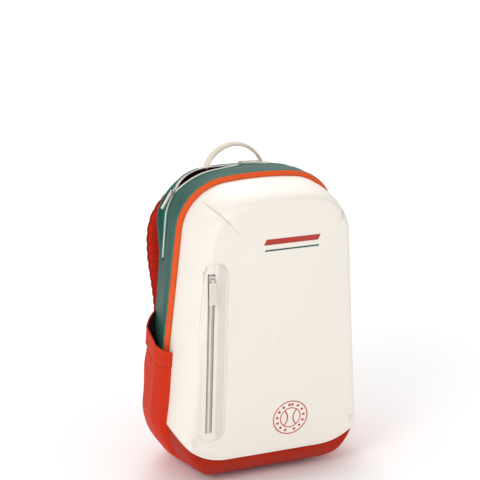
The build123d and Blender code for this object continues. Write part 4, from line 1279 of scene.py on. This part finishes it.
def makeHandle():
    # a loop of webbing on an arc over the back, and a sewn patch over each foot
    h = handle
    low = np.arcsin((h["foot"] - h["centre"][2]) / h["radius"])
    turn = np.linspace(low, pi - low, 220)
    _, y, z = h["centre"]
    path = np.stack([h["radius"] * np.cos(turn), 0 * turn + y, z + h["radius"] * np.sin(turn)], 1)
    path[:, 2] += h["rise"] * np.sin((turn - low) / (pi - 2 * low) * pi) ** 2
    out = unit(path - np.array(h["centre"]))
    aside = np.tile(backwards, (len(path), 1))
    # narrower and thicker where the hand holds it
    grip = smoothStep(0.55, 0.95, turn) * smoothStep(0.55, 0.95, pi - turn)
    half, thick = h["half"] * (1 - 0.22 * grip), h["thick"] * (0.9 + 0.9 * grip)
    loop = tube("handleWebbing", path, aside, out, half, thick, webbing, 28, 0.45, body=None, slot="webbing",
                stands=("handle",))
    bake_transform(loop)
    inner = slice(20, -20)
    for way, name in ((-1, "Front"), (1, "Rear")):
        line = path + aside * (way * (half - 0.002))[:, None] + out * thick[:, None]
        stitches(f"handleStitches{name}", line[inner], out[inner], creamRubber, 0.0001, body="handle",
                 slot="webbing")
    count = 26
    probeU = np.linspace(0, 0.3, 2000)
    reach = outlinePoint(probeU, rearStepAt(y), 0.0)[0]
    turns = np.interp(np.linspace(*h["patchX"], count), reach, probeU)[:, None]
    edge = np.minimum(1, np.minimum(np.arange(count), count - 1 - np.arange(count)) / 2.0)
    proud = h["patchProud"] * np.minimum(edge[:, None], edge[None])
    for side, label in ((-1, "Left"), (1, "Right")):
        patch = rearSurface(side * turns, np.linspace(*h["patchY"], count)[None], proud)
        skin(f"handlePatch{label}", patch, webbing, 0.0008, slot="webbing",
             stands=("handle_patches",) if side < 0 else ())


makeHandle()
print("handle made")

# the CAD nodes that stay visible
liningPlain = wovenCloth("liningPlain", rgb(110, 34, 26), rgb(70, 18, 14), 0.0010, 0.0001, where="Object")
for finish, nodes in ((metal, ("left_slider", "top_slider", "pocket_slider")),
                      (creamRubber, ("left_pull", "top_pull", "pocket_pull")),
                      (greyBoard, ("frame_sheet", "base_board")),
                      (blackPlastic, ("left_strap_buckle", "right_strap_buckle")),
                      (liningPlain, ("racket_divider", "pocket_pouch"))):
    for node in nodes:
        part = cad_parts[node]
        part.data.materials.clear()
        part.data.materials.append(finish)

floorShader = Shader("floorPaper")
floorShader.put(Base_Color=(*studio["floor"], 1), Roughness=0.9)
floorMesh = bpy.data.meshes.new("floor")
floorMesh.from_pydata([(-6, -4, 0), (6, -4, 0), (6, 9, 0), (-6, 9, 0)], [], [(0, 1, 2, 3)])
floorMesh.materials.append(floorShader.material)
floor = bpy.data.objects.new("floor", floorMesh)
bpy.context.collection.objects.link(floor)
